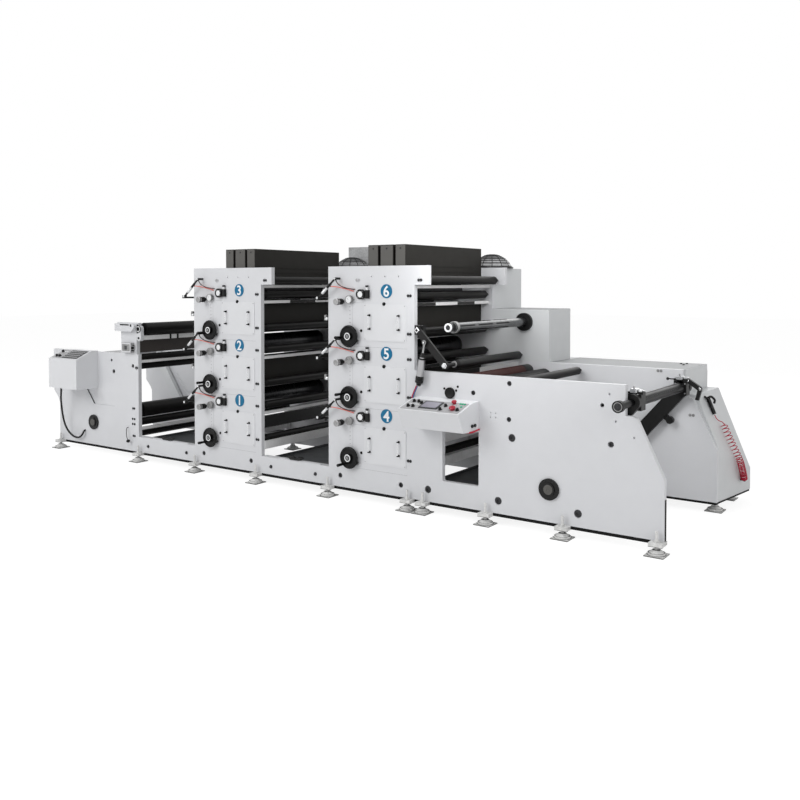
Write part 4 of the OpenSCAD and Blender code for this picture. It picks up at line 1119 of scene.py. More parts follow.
@dataclass
class Digits:
    """The units' numbers on their blue discs, with strokes thickened by swell."""

    height: float = 0.088
    disc_x: float = 0.615
    disc_out: float = 0.004
    proud: float = 0.0008
    gap: float = 0.0002
    type_size: float = 1.38
    swell: float = 0.0022

    def build(self) -> None:
        """Makes one digit on each disc."""
        upright = Matrix.Rotation(math.radians(90), 4, "X")
        out = self.disc_out + self.proud / 2 + self.gap
        for number, edge, datum in LAYOUT.units():
            name = f"digit_{number}"
            curve = bpy.data.curves.new(name, "FONT")
            curve.body = str(number)
            curve.size = self.height * self.type_size
            curve.align_x = "CENTER"
            curve.align_y = "CENTER"
            curve.offset = self.swell
            curve.extrude = self.proud / 2
            holder = bpy.data.objects.new(f"{name}_text", curve)
            bpy.context.scene.collection.objects.link(holder)
            evaluated = holder.evaluated_get(bpy.context.evaluated_depsgraph_get())
            mesh = bpy.data.meshes.new_from_object(evaluated)
            bpy.data.objects.remove(holder)
            xs = [vert.co.x for vert in mesh.vertices]
            ys = [vert.co.y for vert in mesh.vertices]
            centring = Matrix.Translation((-(min(xs) + max(xs)) / 2, -(min(ys) + max(ys)) / 2, 0.0))
            place = Matrix.Translation(near_point(edge + self.disc_x, datum, out))
            mesh.transform(place @ upright @ centring)
            mesh.materials.append(PAINT.get(Stock.WHITE))
            made = bpy.data.objects.new(name, mesh)
            bpy.context.scene.collection.objects.link(made)
            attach(made, "root")
            log.info("piece %s on root", name)


@dataclass
class Handwheels:
    """White rings and nuts on the handwheels, placed from edge, datum and plate."""

    wheel_x: float = 0.245
    wheel_dz: float = -0.377
    hub_out: float = 0.052

    def build(self) -> None:
        """Dresses the six wheels."""
        ring = mm((22, -2), (30.5, -2), (31, 1.5), (27, 3), (22.5, 1.5), (22, -2))
        head = mm((11.5, -1), (11.5, 6), (9, 8), (0, 8))
        washer = mm((14.5, -1), (14.5, 1.5), (0, 1.5))
        for number, edge, datum in LAYOUT.units():
            body = f"handwheel_{number}"
            centre = near_point(edge + self.wheel_x, datum + self.wheel_dz, self.hub_out)
            Shape().lathe(centre, NEAR, ring, 40).piece(f"wheel_{number}_ring", Stock.WHITE, body)
            nut = Shape().lathe(centre, NEAR, head, 6).lathe(centre, NEAR, washer, 24)
            nut.piece(f"wheel_{number}_nut", Stock.CHROME, body)


@dataclass
class UnitFittings:
    """Gauges, register clamps, knobs, screws and air fittings of the printing units.

    Places count from the tower's edge and the unit's datum: X, Z and, if there is a third number, the
    height off the near plate. The linkage's joints are vectors, and so is the lock knob from its clamp.
    """

    gauge: Point = (0.2406, -0.0711, 0.028)
    clamp: Point = (0.363, -0.027, 0.030)
    knob: Point = (0.156, -0.0891, 0.064)
    clamp_knob: Point = (0.062, 0.015, 0.060)
    joint: Point = (0.123, -0.058, 0.104)
    end: Point = (-0.064, -0.058, -0.060)
    hose_end: Point = (0.292, -0.004, 0.014)
    slant: Point = (0.5, 0.0, -math.sqrt(0.75))
    door: tuple[float, float] = (0.397, -0.395)
    stop: tuple[float, float] = (0.317, -0.420)

    def gauges(self) -> None:
        """Gives each gauge its face, marks, needle and glass rim; only the upper units' faces are white."""
        faces, dull, rims, needles, marks = Shape(), Shape(), Shape(), Shape(), []
        for (number, _, _), centre in zip(LAYOUT.units(), unit_points(*self.gauge)):
            face = faces if number % 3 == 0 else dull
            face.lathe(centre, NEAR, mm((29, -1), (29, 0.6), (0, 0.6)), 32)
            rims.lathe(centre, NEAR, mm((29, -2), (34.5, -2), (34.5, 3), (31, 4), (29, 2), (29, -2)), 36)
            marks += [(centre + NEAR * 0.0008 + around(225 - 27 * step, 0.0235), NEAR) for step in range(11)]
            needles.tube([centre + NEAR * 0.0015, centre + Vector((-0.014, -0.0015, 0.012))], 0.0009, 6)
        faces.piece("gauge_faces", Stock.WHITE)
        dull.piece("gauge_faces_dull", Stock.CAST)
        rims.piece("gauge_rims", Stock.CAST)
        needles.piece("gauge_needles", Stock.KNOB)
        mark = Shape().box((-0.0009, -0.0009, 0), (0.0009, 0.0009, 0.0006))
        REPEAT.set_out("gauge_marks", mark, marks, Stock.KNOB, spin=0)

    def clamps(self) -> None:
        """Gives each register clamp its white core, ring screws and lock knob."""
        cores, knobs, stems, screws = Shape(), Shape(), Shape(), []
        core = mm((0, -14), (25.8, -14), (25.8, -1), (24, 1), (9, 1), (8, -1), (0, -1))
        knob = mm((0, 0), (12.8, 0), (13.8, 3), (13.8, 11), (11.5, 14.5), (0, 14.5))
        stem = mm((7.2, 0), (7.5, 2), (7.5, 22), (7.2, 24), (7.2, 0))
        for centre in unit_points(*self.clamp):
            cores.lathe(centre, NEAR, core, 36)
            screws += [(centre + around(45 + 90 * step, 0.034), NEAR) for step in range(4)]
            top = centre + Vector(self.clamp_knob)
            knobs.lathe(top, UP, knob, 10)
            stems.lathe(top - UP * 0.026, UP, stem, 16)
        cores.piece("clamp_cores", Stock.WHITE)
        stems.piece("clamp_stems", Stock.WHITE)
        knobs.piece("clamp_knobs", Stock.BOLT)
        REPEAT.set_out("clamp_screws", cap_screw(0.0035, 0.003), screws, Stock.STEEL)

    def knobs(self) -> None:
        """Gives each pressure knob its bare end cap and knurling."""
        caps, bodies, faces, ribs = Shape(), Shape(), Shape(), []
        cap = mm(
            (0, 0), (27, 0), (28.5, 1.5), (28.5, 5), (27, 6.5), (27, 20),
            (28.5, 21.5), (28.5, 26.2), (27, 27), (20, 26.4), (0, 26.4),
        )
        face = mm((27.5, 26.2), (27.5, 27.6), (26.2, 28.2), (22.8, 28.2), (22.2, 26.2))
        body = mm((17.2, -0.5), (25, -0.5), (25.8, 1), (25.8, 46), (24.5, 50), (13.2, 50))
        for centre in unit_points(*self.knob):
            caps.lathe(centre, NEAR, cap, 36)
            faces.lathe(centre, NEAR, face, 36)
            bodies.lathe(centre, ACROSS, body, 32)
            for step in range(36):
                out = around(10 * step)
                ribs.append((centre + out * 0.0270 + NEAR * 0.013, out))
        caps.piece("knob_caps", Stock.CAST)
        faces.piece("knob_faces", Stock.STEEL)
        bodies.piece("knob_bodies", Stock.KNOB)
        rib = Shape().box((-0.0010, -0.0065, -0.001), (0.0010, 0.0065, 0.0011))
        REPEAT.set_out("knob_knurls", rib, ribs, Stock.CAST, spin=0, lay=ACROSS)

    def linkage(self) -> None:
        """Gives the throw-off linkage its bright barrel, joint nut and end fitting, and the dark hose."""
        barrels, nuts, hoses = Shape(), Shape(), Shape()
        barrel = mm(
            (11, 0), (11.8, 1), (11.8, 46), (11.2, 47), (11.2, 50), (11.8, 51), (11.8, 74), (11, 75), (11, 0)
        )
        top, low, end, slant = (Vector(item) for item in (self.joint, self.end, self.hose_end, self.slant))
        along = (top - low).normalized()
        foot = (top + low) / 2 - along * 0.066
        start = top + slant * 0.0303
        bend = start + slant * 0.062
        shares = [step / 10 for step in range(11)]
        for base in unit_points(0.0, 0.0):
            barrels.lathe(base + foot, along, barrel, 20)
            nuts.lathe(base + top + NEAR * 0.012, NEAR, mm((10.2, -12), (10.6, -1), (8.5, 2), (0, 2)), 6)
            nuts.lathe(base + low + NEAR * 0.014, NEAR, mm((12, -1), (12, 4), (9, 6), (0, 6)), 6)
            route = [base + start * (1 - t) ** 2 + bend * (2 * t * (1 - t)) + end * (t * t) for t in shares]
            hoses.tube(route, 0.0043, 8)
        barrels.piece("lever_barrels", Stock.ALUMINIUM)
        nuts.piece("lever_nuts", Stock.BRIGHT)
        hoses.piece("lever_dark_hoses", Stock.CABLE)

    def screws(self) -> None:
        """Sets the small screws of the plates and doors, and the stop bolts."""
        small = []
        door_x, door_z = self.door
        for _, edge, datum in LAYOUT.units():
            small += [near_place(edge + 0.235, datum - 0.262 + 0.0325 * step) for step in range(5)]
            for x in (door_x, door_x + 0.400):
                small += [near_place(edge + x, datum + z, 0.005) for z in (door_z, door_z + 0.276)]
        REPEAT.set_out("panel_screws", cap_screw(0.0042, 0.0022), small, Stock.STEEL)
        REPEAT.set_out("stop_bolts", hex_bolt(0.013, 0.010), unit_places(*self.stop), Stock.STEEL)

    def build(self) -> None:
        """Builds all fittings."""
        self.gauges()
        self.clamps()
        self.knobs()
        self.screws()
        self.linkage()


@dataclass
class PlateHardware:
    """Shaft ends in the plates' recesses, seams and door handles' ends.

    The two screws of a twin seat stand twin_gap to both sides of its middle. The small bolt of each deck
    counts from the tower's edge and the unit's datum.
    """

    deck_bolt: tuple[float, float] = (0.354, -0.328)
    recess: float = 0.0138
    twin_gap: float = 0.0118
    seam: float = 0.0022

    def seats(self, *spots: tuple[float, float]) -> list[Place]:
        """Places at the bottom of the near plates' recesses, from the X and Z of each."""
        return [near_place(x, z, -self.recess) for x, z in spots]

    def shaft_ends(self) -> None:
        """Sets bolts and dark shaft ends with a socket in the recesses of the near plates."""
        x1, x5, x6 = LAYOUT.bay_1_x, LAYOUT.rewinder_x, LAYOUT.rewinder_end
        small = unit_places(*self.deck_bolt, -self.recess)
        small += self.seats((LAYOUT.unwinder_x + 1.029, 1.005), (x6 - 0.440, 0.965))
        ends = self.seats(
            (x1 - 0.400, 0.890), (x1 - 0.087, 0.962), (x5 + 0.851, 1.068), (x5 + 0.848, 0.801),
            (x5 + 0.541, 0.977), (x6 - 0.376, 0.699),
        )
        wide = self.seats(*((edge + x, 0.184) for edge in LAYOUT.towers for x in (0.126, 0.756)))
        large = self.seats((x5 + 0.129, 0.184), (x5 + 0.759, 0.184), (x6 - 0.617, 0.184), (x5 + 0.873, 0.667))
        REPEAT.set_out("small_recess_bolts", cap_screw(0.0098, 0.0125), small, Stock.HOLE)
        REPEAT.set_out("roller_shaft_ends", cap_screw(0.0168, 0.012), ends, Stock.BOLT)
        REPEAT.set_out("frame_bolts", cap_screw(0.0205, 0.011), wide, Stock.BOLT)
        REPEAT.set_out("large_frame_bolts", cap_screw(0.0275, 0.011), large, Stock.BOLT)

    def deck_marks(self) -> None:
        """Sets the rings, studs and dark bolt marks on the plates' faces."""
        x = LAYOUT.bay_1_x - 0.080
        marks = unit_places(*self.deck_bolt, 0.0010)
        marks += [near_place(x + dx, 0.392 + dz) for dx in (-0.016, 0.016) for dz in (-0.026, 0.026)]
        ring = turned(mm((7.8, 0), (13.8, 0), (13.8, 2), (7.8, 2.4)), 20)
        REPEAT.set_out("column_rings", ring, unit_places(*UnitFittings.stop, -0.0005), Stock.CAST)
        stud = turned(mm((14.8, -5), (14.8, 3), (12, 5), (0, 5)), 20)
        REPEAT.set_out("deck_studs", stud, unit_places(0.591, -0.105, 0.0045), Stock.HOLE)
        mark = turned(mm((11.8, -1), (11.8, 2.2), (9.5, 3.6), (0, 3.6)), 20)
        REPEAT.set_out("deck_marks", mark, marks, Stock.HOLE)

    def twin_seats(self) -> None:
        """Sets the light seats whose two screws stand side by side."""
        x1, top = LAYOUT.bay_1_x, LAYOUT.tower_top - 0.116
        decks = [(edge + 0.840, datum + dz) for _, edge, datum in LAYOUT.units() for dz in (-0.036, -0.341)]
        twins = self.seats(*decks, *((edge + 0.942, top) for edge in LAYOUT.towers), (x1 - 0.027, 0.946))
        pale = self.seats(*((edge + 0.319, top) for edge in LAYOUT.towers))
        broad = self.seats((x1 - 0.078, 0.526), (x1 - 0.074, 0.245))
        narrow_seat = turned(mm((16.5, 0), (16.5, 12.2), (16, 12.8), (0, 12.8)), 32)
        REPEAT.set_out("twin_seats", narrow_seat, twins + pale, Stock.PLATE)
        broad_seat = turned(mm((23.6, 0), (23.6, 12.4), (23, 13), (0, 13)), 32)
        REPEAT.set_out("broad_seats", broad_seat, broad, Stock.PLATE)
        head = mm((12, 12.6), (12, 16.2), (10.8, 17.4), (5, 17.4), (4.6, 15.2), (0, 15.2))
        gaps = (ALONG * -self.twin_gap, ALONG * self.twin_gap)
        for name, seats, stock in (
            ("twin_screws", twins + broad, Stock.BOLT), ("pale_screws", pale, Stock.STEEL),
        ):
            places = [(spot + gap, axis) for spot, axis in seats for gap in gaps]
            REPEAT.set_out(name, turned(head, 20), places, stock)

    def seams(self) -> None:
        """Draws the fine seams between the decks' panels."""
        shape = Shape()
        for base in unit_points(0.262, 0.0):
            for low, high in (
                ((0.0, -0.0004, -0.098), (0.123, 0.001, -0.098 + self.seam)),
                ((0.0, -0.0004, -0.462), (0.558, 0.001, -0.462 + self.seam)),
                ((0.0, -0.0004, -0.460), (self.seam, 0.001, -0.098)),
            ):
                shape.box(base + Vector(low), base + Vector(high))
        shape.piece("panel_seams", Stock.SEAM)

    def handles(self) -> None:
        """Puts black feet under the bow handles."""
        ends = [Vector((x, 0.0, dz)) for x in (0.0, 0.295) for dz in (-0.056, 0.056)]
        feet = [(base + end, NEAR) for base in unit_points(0.446, -0.254, 0.005) for end in ends]
        foot = turned(mm((9.6, 0), (9.6, 6.6), (6.8, 10), (6, 26), (4.5, 28), (0, 28)), 16)
        REPEAT.set_out("handle_feet", foot, feet, Stock.KNOB)

    def build(self) -> None:
        """Builds the hardware."""
        self.deck_marks()
        self.shaft_ends()
        self.twin_seats()
        self.seams()
        self.handles()


@dataclass
class Hoods:
    """Grey end sheets and bolts of the drying hoods.

    The hood's corner counts from the tower's edge and the unit's datum, and its ends from the plates' faces.
    The share is the width of an outer chamber over that of the hood, and slots part the three chambers.
    """

    left: float = 0.397
    bottom: float = 0.129
    width: float = 0.378
    height: float = 0.250
    share: float = 0.27
    slot: float = 0.022
    near_gap: float = 0.043
    far_gap: float = 0.003

    def build(self) -> None:
        """Dresses the hoods."""
        ends, bolts = Shape(), []
        outer = self.width * self.share
        near, far = LAYOUT.near_y + self.near_gap, LAYOUT.far_y - self.far_gap
        inner = outer + self.slot
        chambers = ((0.0, outer), (inner, self.width - inner), (self.width - outer, self.width))
        for _, edge, datum in LAYOUT.units():
            x, z = edge + self.left, datum + self.bottom
            for low, high in chambers:
                for y0, y1 in ((near - 0.0015, near + 0.0005), (far - 0.0005, far + 0.0015)):
                    start = (x + low + 0.004, y0, z + 0.006)
                    ends.box(start, (x + high - 0.004, y1, z + self.height - 0.005), 0.0006)
                for dz in (0.03, self.height - 0.03):
                    bolts.append(((x + (low + high) / 2, near - 0.0015, z + dz), NEAR))
        ends.piece("hood_end_sheets", Stock.HOOD_END)
        REPEAT.set_out("hood_bolts", hex_bolt(0.006, 0.004), bolts, Stock.BOLT)


# ---- control boxes ----


@dataclass(frozen=True)
class Slope:
    """A sloped control panel, on which places are shares of its width and of its rise."""

    corner: Vector
    rise: Vector
    width: float

    @property
    def normal(self) -> Vector:
        """Its outward direction."""
        return ALONG.cross(self.rise).normalized()

    def spot(self, u: float, v: float, out: float = 0.0) -> Vector:
        """A point of the panel, or above it by out."""
        return self.corner + ALONG * (u * self.width) + self.rise * v + self.normal * out

    def sheet(
        self, name: str, stock: Stock, us: Sequence[float], vs: Sequence[float], low: float, thick: float
    ) -> None:
        """Lays a sheet on the panel between two shares of its width, us, and of its rise, vs."""
        outline = [self.spot(us[i], vs[j], low) for i, j in ((0, 0), (1, 0), (1, 1), (0, 1))]
        Shape().prism(outline, self.normal * thick).piece(name, stock)

    def set_out(
        self,
        name: str,
        part: Shape,
        shares: Iterable[tuple[float, float]],
        stock: Stock,
        out: float = 0.002,
        spin: float | None = None,
    ) -> None:
        """Sets copies of a part on the panel, with their feet at a height above it."""
        REPEAT.set_out(name, part, [(self.spot(u, v, out), self.normal) for u, v in shares], stock, spin=spin)


@dataclass
class Controls:
    """Panels, keys, lamps and knobs of both control boxes.

    The panels' front and back edges are given by their distance from the plate and their height.
    """

    console_x: float = 0.044
    console_w: float = 0.548
    console_low: tuple[float, float] = (0.285, 0.8545)
    console_high: tuple[float, float] = (0.114, 0.9085)
    box_x: float = 0.310
    box_w: float = 0.487
    box_low: tuple[float, float] = (0.246, 1.0155)
    box_high: tuple[float, float] = (0.084, 1.0915)

    @staticmethod
    def slope(x: float, width: float, low: Sequence[float], high: Sequence[float]) -> Slope:
        """Makes a sloped panel between a low front edge and a high back edge."""
        corner = near_point(x, low[1], low[0])
        return Slope(corner, near_point(x, high[1], high[0]) - corner, width)

    @staticmethod
    def knob(extra: float = 0.0) -> Shape:
        """A skirted knob about the origin.

        Args:
            extra: how much wider it is than the plain one, in millimetres, and half of how much taller.

        Returns:
            The shape.
        """
        top = 20 + 2 * extra
        profile = ((0, 0), (15, 0), (15.5, 4), (12, 6), (11, top - 2), (9, top), (0, top))
        return turned(mm(*((radius + extra if radius else 0, height) for radius, height in profile)), 20)

    @staticmethod
    def lamp() -> Shape:
        """A round lamp about the origin."""
        return turned(mm((0, 0), (9, 0), (9, 6), (6, 9), (0, 10)), 16)

    def console(self) -> None:
        """Builds the main console's panel."""
        x = LAYOUT.rewinder_x + self.console_x
        panel = self.slope(x, self.console_w, self.console_low, self.console_high)
        panel.sheet("console_panel", Stock.PANEL, (0.03, 0.97), (0.02, 0.98), -0.002, 0.004)
        panel.sheet("console_bezel", Stock.KEYS, (0.30, 0.60), (0.18, 0.84), 0.002, 0.006)
        panel.sheet("console_screen", Stock.SCREEN, (0.325, 0.575), (0.25, 0.77), 0.008, 0.0015)
        shares = (
            (0.12, 0.26), (0.20, 0.26), (0.27, 0.62), (0.66, 0.20),
            (0.68, 0.56), (0.12, 0.74), (0.20, 0.74), (0.92, 0.28),
        )
        panel.set_out("console_knobs", self.knob(), shares, Stock.KNOB)
        reds = Shape()
        for u, v, r in ((0.76, 0.86, 0.020), (0.84, 0.30, 0.026)):
            stem, head = r * 0.7, r * 0.8
            profile = [(0, 0), (stem, 0), (stem, 0.012), (r, 0.014), (r, 0.020), (head, 0.026), (0, 0.028)]
            reds.lathe(panel.spot(u, v, 0.002), panel.normal, profile, 24)
        reds.piece("console_stop_buttons", Stock.RED)
        shares = [(0.86 + 0.035 * i, 0.86) for i in range(3)] + [(0.92, 0.6)]
        panel.set_out("console_lamps", self.lamp(), shares, Stock.GREEN)
        key = Shape().box((-0.0055, -0.0045, 0), (0.0055, 0.0045, 0.003), 0.001)
        panel.set_out("console_keys", key, [(0.07 + 0.028 * i, 0.50) for i in range(7)], Stock.WHITE, spin=0)

    def console_side(self) -> None:
        """Puts the latch and the short hose on the console's right side."""
        x = LAYOUT.rewinder_x + self.console_x + self.console_w
        low, reach = near_point(x, 0.742, 0.105), ACROSS * 0.042
        latch = Shape().rod(low, ALONG, 0.010, 0.013).rod(low + reach, ALONG, 0.010, 0.013)
        latch.box(low + Vector((0.002, 0, -0.005)), low + reach + Vector((0.007, 0, 0.005)), 0.001)
        latch.piece("console_side_latch", Stock.KNOB)
        route = ((-0.020, 0.700, 0.17), (0.004, 0.697, 0.12), (0.005, 0.700, 0.05), (0.004, 0.704, 0.0))
        hose = smooth([near_point(x + dx, z, out) for dx, z, out in route], 5)
        Shape().tube(hose, 0.006, 10).piece("console_side_hose", Stock.HOSE_RED)

    def control_box(self) -> None:
        """Builds the unwinder's panel."""
        panel = self.slope(LAYOUT.unwinder_x + self.box_x, self.box_w, self.box_low, self.box_high)
        panel.sheet("box_panel", Stock.PANEL, (0.05, 0.95), (0.03, 0.97), -0.002, 0.004)
        panel.sheet("box_key_field", Stock.KEYS, (0.40, 0.93), (0.06, 0.94), 0.002, 0.003)
        shares = [(0.45 + 0.055 * i, 0.18 + 0.2 * j) for i in range(9) for j in range(4)]
        key = Shape().box((-0.0095, -0.009, 0), (0.0095, 0.009, 0.0025), 0.001)
        panel.set_out("box_keys", key, shares, Stock.STEEL, out=0.005, spin=0)
        panel.set_out("box_knobs", self.knob(1), ((0.14, 0.72), (0.16, 0.22), (0.27, 0.22)), Stock.KNOB)
        panel.set_out("box_lamps", self.lamp(), ((0.24, 0.72), (0.31, 0.72)), Stock.WHITE)

    def build(self) -> None:
        """Builds both."""
        self.console()
        self.console_side()
        self.control_box()


# ---- winding station ----


@dataclass
class WindingStation:
    """Winding shaft, its chucks, the spindle and the tension arm.

    Places along X count from the rewinder's edge. The cylinder hangs from the pin at pin_drop from the
    arm's pivot, and stroke is that pin from the cylinder's foot, both along X and Z.
    """

    bars: int = 6
    shaft_radius: float = 0.038
    chuck: float = 0.084
    arm_gap: float = 0.018
    arm: float = 0.045
    spindle_x: float = 0.332
    spindle_z: float = 1.466
    pivot_x: float = 0.046
    pivot_z: float = 1.438
    tension_angle: float = -45.9
    tension_reach: float = 0.370
    pin_drop: tuple[float, float] = (0.081, -0.092)
    stroke: tuple[float, float] = (0.055, 0.331)

    def winding_shaft(self) -> None:
        """Lays the expanding bars along the winding shaft and rings on its end cap."""
        low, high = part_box("winding_shaft")
        x, z = (low[0] + high[0]) / 2, (low[2] + high[2]) / 2
        y0, y1 = LAYOUT.near_y + 0.198, LAYOUT.far_y - 0.158
        half = (y1 - y0) / 2
        bar = Shape().box((-0.007, -half, -0.003), (0.007, half, 0.0022), 0.0008)
        middle = Vector((x, (y0 + y1) / 2, z))
        outs = [around(360 * (step + 0.5) / self.bars) for step in range(self.bars)]
        places = [(middle + out * self.shaft_radius, out) for out in outs]
        body = "winding_shaft"
        REPEAT.set_out("shaft_bars", bar, places, Stock.DARK_STEEL, body, spin=0, lay=ACROSS)
        face = (x, low[1], z)
        cap = mm((0, -1), (26.2, -1), (26.2, 1), (16, 2.5), (6, 2.5), (6, 1), (0, 1))
        turned_piece("shaft_end_face", Stock.BOLT, body, face, NEAR, cap, 32)
        rim = mm((31, -2), (40.8, -2), (40.8, 3), (38, 5), (32, 3), (31, -2))
        turned_piece("shaft_end_rim", Stock.KNOB, body, face, NEAR, rim, 40)
        seat = mm((26, 0), (31, 0), (31, 1.2), (26, 1.2), (26, 0))
        turned_piece("shaft_end_seat", Stock.CAST, body, face, NEAR, seat, 40)

    def chucks(self) -> None:
        """Sets the bright latches, pins and screws of the shaft's chucks."""
        low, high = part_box("winding_shaft")
        x, z = (low[0] + high[0]) / 2, (low[2] + high[2]) / 2
        near = LAYOUT.near_y + PLATE_THICK + self.arm_gap + self.arm
        far = LAYOUT.far_y - self.arm_gap - self.arm - self.chuck
        latches, pins = Shape(), Shape()
        for y in (near, far):
            base = Vector((x, y, z))
            for start, end, bevel in (
                ((-0.036, 0.006, 0.060), (0.016, 0.078, 0.088), 0.004),
                ((0.022, 0.020, 0.064), (0.046, 0.064, 0.080), 0.003),
            ):
                latches.box(base + Vector(start), base + Vector(end), bevel)
            pins.rod(base + Vector((-0.046, 0.042, 0.074)), ALONG, 0.110, 0.006)
            pins.rod(base + Vector((-0.010, 0.024, 0.086)), UP, 0.020, 0.007)
        latches.piece("chuck_latches", Stock.BRIGHT, "winding_arms")
        pins.piece("chuck_pins", Stock.STEEL, "winding_arms")
        screws = [(Vector((x + dx, far, z + dz)), NEAR) for dx in (-0.038, 0.038) for dz in (-0.045, 0.030)]
        REPEAT.set_out("chuck_screws", cap_screw(0.006, 0.005), screws, Stock.STEEL, "winding_arms")
        crank = Shape()
        for dx, dz, profile in (
            (0.146, -0.004, mm((0, 0), (10, 0), (10, 5), (7, 7), (0, 7))),
            (0.050, 0.056, mm((0, 0), (11, 0), (11, 6), (8, 8), (0, 8))),
        ):
            crank.lathe((x + dx, far + 0.028, z + dz), NEAR, profile, 20)
        crank.piece("crank_pins", Stock.BRIGHT, "winding_arms")

    def spindle(self) -> None:
        """Puts the pale end ring, dark neck, collar and bars on the spindle."""
        body = "reel_spindle"
        end = Vector((LAYOUT.rewinder_x + self.spindle_x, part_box(body)[0][1], self.spindle_z))
        ring = mm((20, -4), (34, -4), (34, 2), (31, 4), (23, 4), (20, 2), (20, -4))
        turned_piece("spindle_end_ring", Stock.WHITE, body, end, NEAR, ring, 40)
        core = mm((0, 0), (0, 1), (19, 1), (19, -3))
        turned_piece("spindle_end_core", Stock.BOLT, body, end, NEAR, core, 32)
        neck = mm((24, 22), (24.6, 23), (24.6, 59), (24, 60), (24, 22))
        turned_piece("spindle_neck", Stock.KNOB, body, end, ACROSS, neck, 32)
        collar = end + ACROSS * 0.077
        band = mm((30, 0), (45.5, 0), (47.5, 2), (47.5, 26), (45.5, 28), (30, 28), (30, 0))
        turned_piece("spindle_collar_band", Stock.CAST, body, collar, ACROSS, band, 40)
        face = mm((26, 0), (39.5, 0), (39.5, 1.4), (26, 1.4), (26, 0))
        turned_piece("spindle_collar_face", Stock.KNOB, body, collar, NEAR, face, 40)
        middles = [end + ACROSS * (0.235 + 0.285 * row) for row in range(3)]
        outs = [around(14 + 60 * step) for step in range(6)]
        slots = [(middle + out * self.shaft_radius, out) for out in outs for middle in middles]
        bar = Shape().box((-0.0052, -0.112, -0.003), (0.0052, 0.112, 0.0012), 0.0006)
        REPEAT.set_out("spindle_bars", bar, slots, Stock.HOLE, body, spin=0, lay=ACROSS)

    def tension_arm(self) -> None:
        """Adds the square nut, shaft end, roller ring and pin head of the tension arm."""
        body = "tension_arm"
        pivot = near_point(LAYOUT.rewinder_x + self.pivot_x, self.pivot_z, 0.030)
        tip = pivot + around(self.tension_angle, self.tension_reach)
        nut = mm((26.3, 0), (26.3, 7.5), (23.5, 9.8), (13, 9.8), (13, 8.6), (0, 8.6))
        turned_piece("tension_pivot_nut", Stock.BRIGHT, body, pivot, NEAR, nut, 4)
        core = mm((12.5, -1), (12.5, 0.8), (0, 0.8))
        turned_piece("tension_pivot_core", Stock.KNOB, body, pivot + NEAR * 0.0086, NEAR, core, 20)
        end = Shape().lathe(tip + NEAR * 0.016, NEAR, mm((16.3, -15.5), (16.3, 4), (12, 7), (0, 7)), 24)
        end.lathe(tip + NEAR * 0.001, NEAR, mm((23, -1), (23, 4), (16, 5), (16, -1)), 6)
        end.piece("tension_shaft_nut", Stock.BRIGHT, body)
        collar = mm((16.1, -4), (27, -4), (27, 2), (23.5, 4), (16.1, 4), (16.1, -4))
        ring = near_point(tip.x, tip.z, -0.104)
        turned_piece("tension_roller_ring", Stock.CAST, body, ring, NEAR, collar, 32)
        pin = near_point(pivot.x + self.pin_drop[0], pivot.z + self.pin_drop[1], 0.060)
        head = mm((7.4, -6), (7.4, 2), (4.5, 4), (0, 4))
        turned_piece("tension_pin_head", Stock.BRIGHT, body, pin, NEAR, head, 16)

    def tension_cylinder(self) -> None:
        """Puts black caps and a gland on the tension cylinder, and leads its two hoses to the plate."""
        dx, dz = self.stroke
        x = LAYOUT.rewinder_x + self.pivot_x + self.pin_drop[0] - dx
        foot = near_point(x, self.pivot_z + self.pin_drop[1] - dz, 0.046)
        along = Vector((dx, 0.0, dz)).normalized()
        cap = mm(
            (0, -14), (15, -14), (18.5, -6), (22, 10), (32.6, 15),
            (32.6, 30), (31.4, 32), (32.6, 34), (32.6, 60), (30, 67),
        )
        head = mm((21.4, 1.2), (22.2, 2), (22.2, 19), (19.5, 21.5), (9.8, 21.5), (9.8, 20.5), (21.4, 20.5))
        gland = mm((10.5, 0), (20, 0), (20, 12), (16.5, 18), (16.5, 34), (14, 38), (10.5, 38), (10.5, 0))
        for name, height, profile in (
            ("cylinder_lower_cap", 0.0, cap),
            ("cylinder_head", 0.190, head),
            ("cylinder_gland", 0.214, gland),
        ):
            turned_piece(name, Stock.KNOB, "tension_cylinder", foot + along * height, along, profile, 28)
        route = (
            (-0.017, 0.0, -0.006), (-0.034, 0.006, -0.030), (-0.060, 0.020, -0.066), (-0.084, 0.036, -0.096),
            (-0.094, 0.0415, -0.118),
        )
        for name, stock, shift in (("red", Stock.HOSE_RED, 0.0), ("blue", Stock.HOSE_BLUE, 0.011)):
            path = smooth(route, 6, foot + ALONG * shift)
            Shape().tube(path, 0.005, 10).piece(f"tension_hose_{name}", stock)

    def build(self) -> None:
        """Dresses the winding side."""
        self.winding_shaft()
        self.chucks()
        self.spindle()
        self.tension_arm()
        self.tension_cylinder()


# ---- frames, feet and cabinets ----


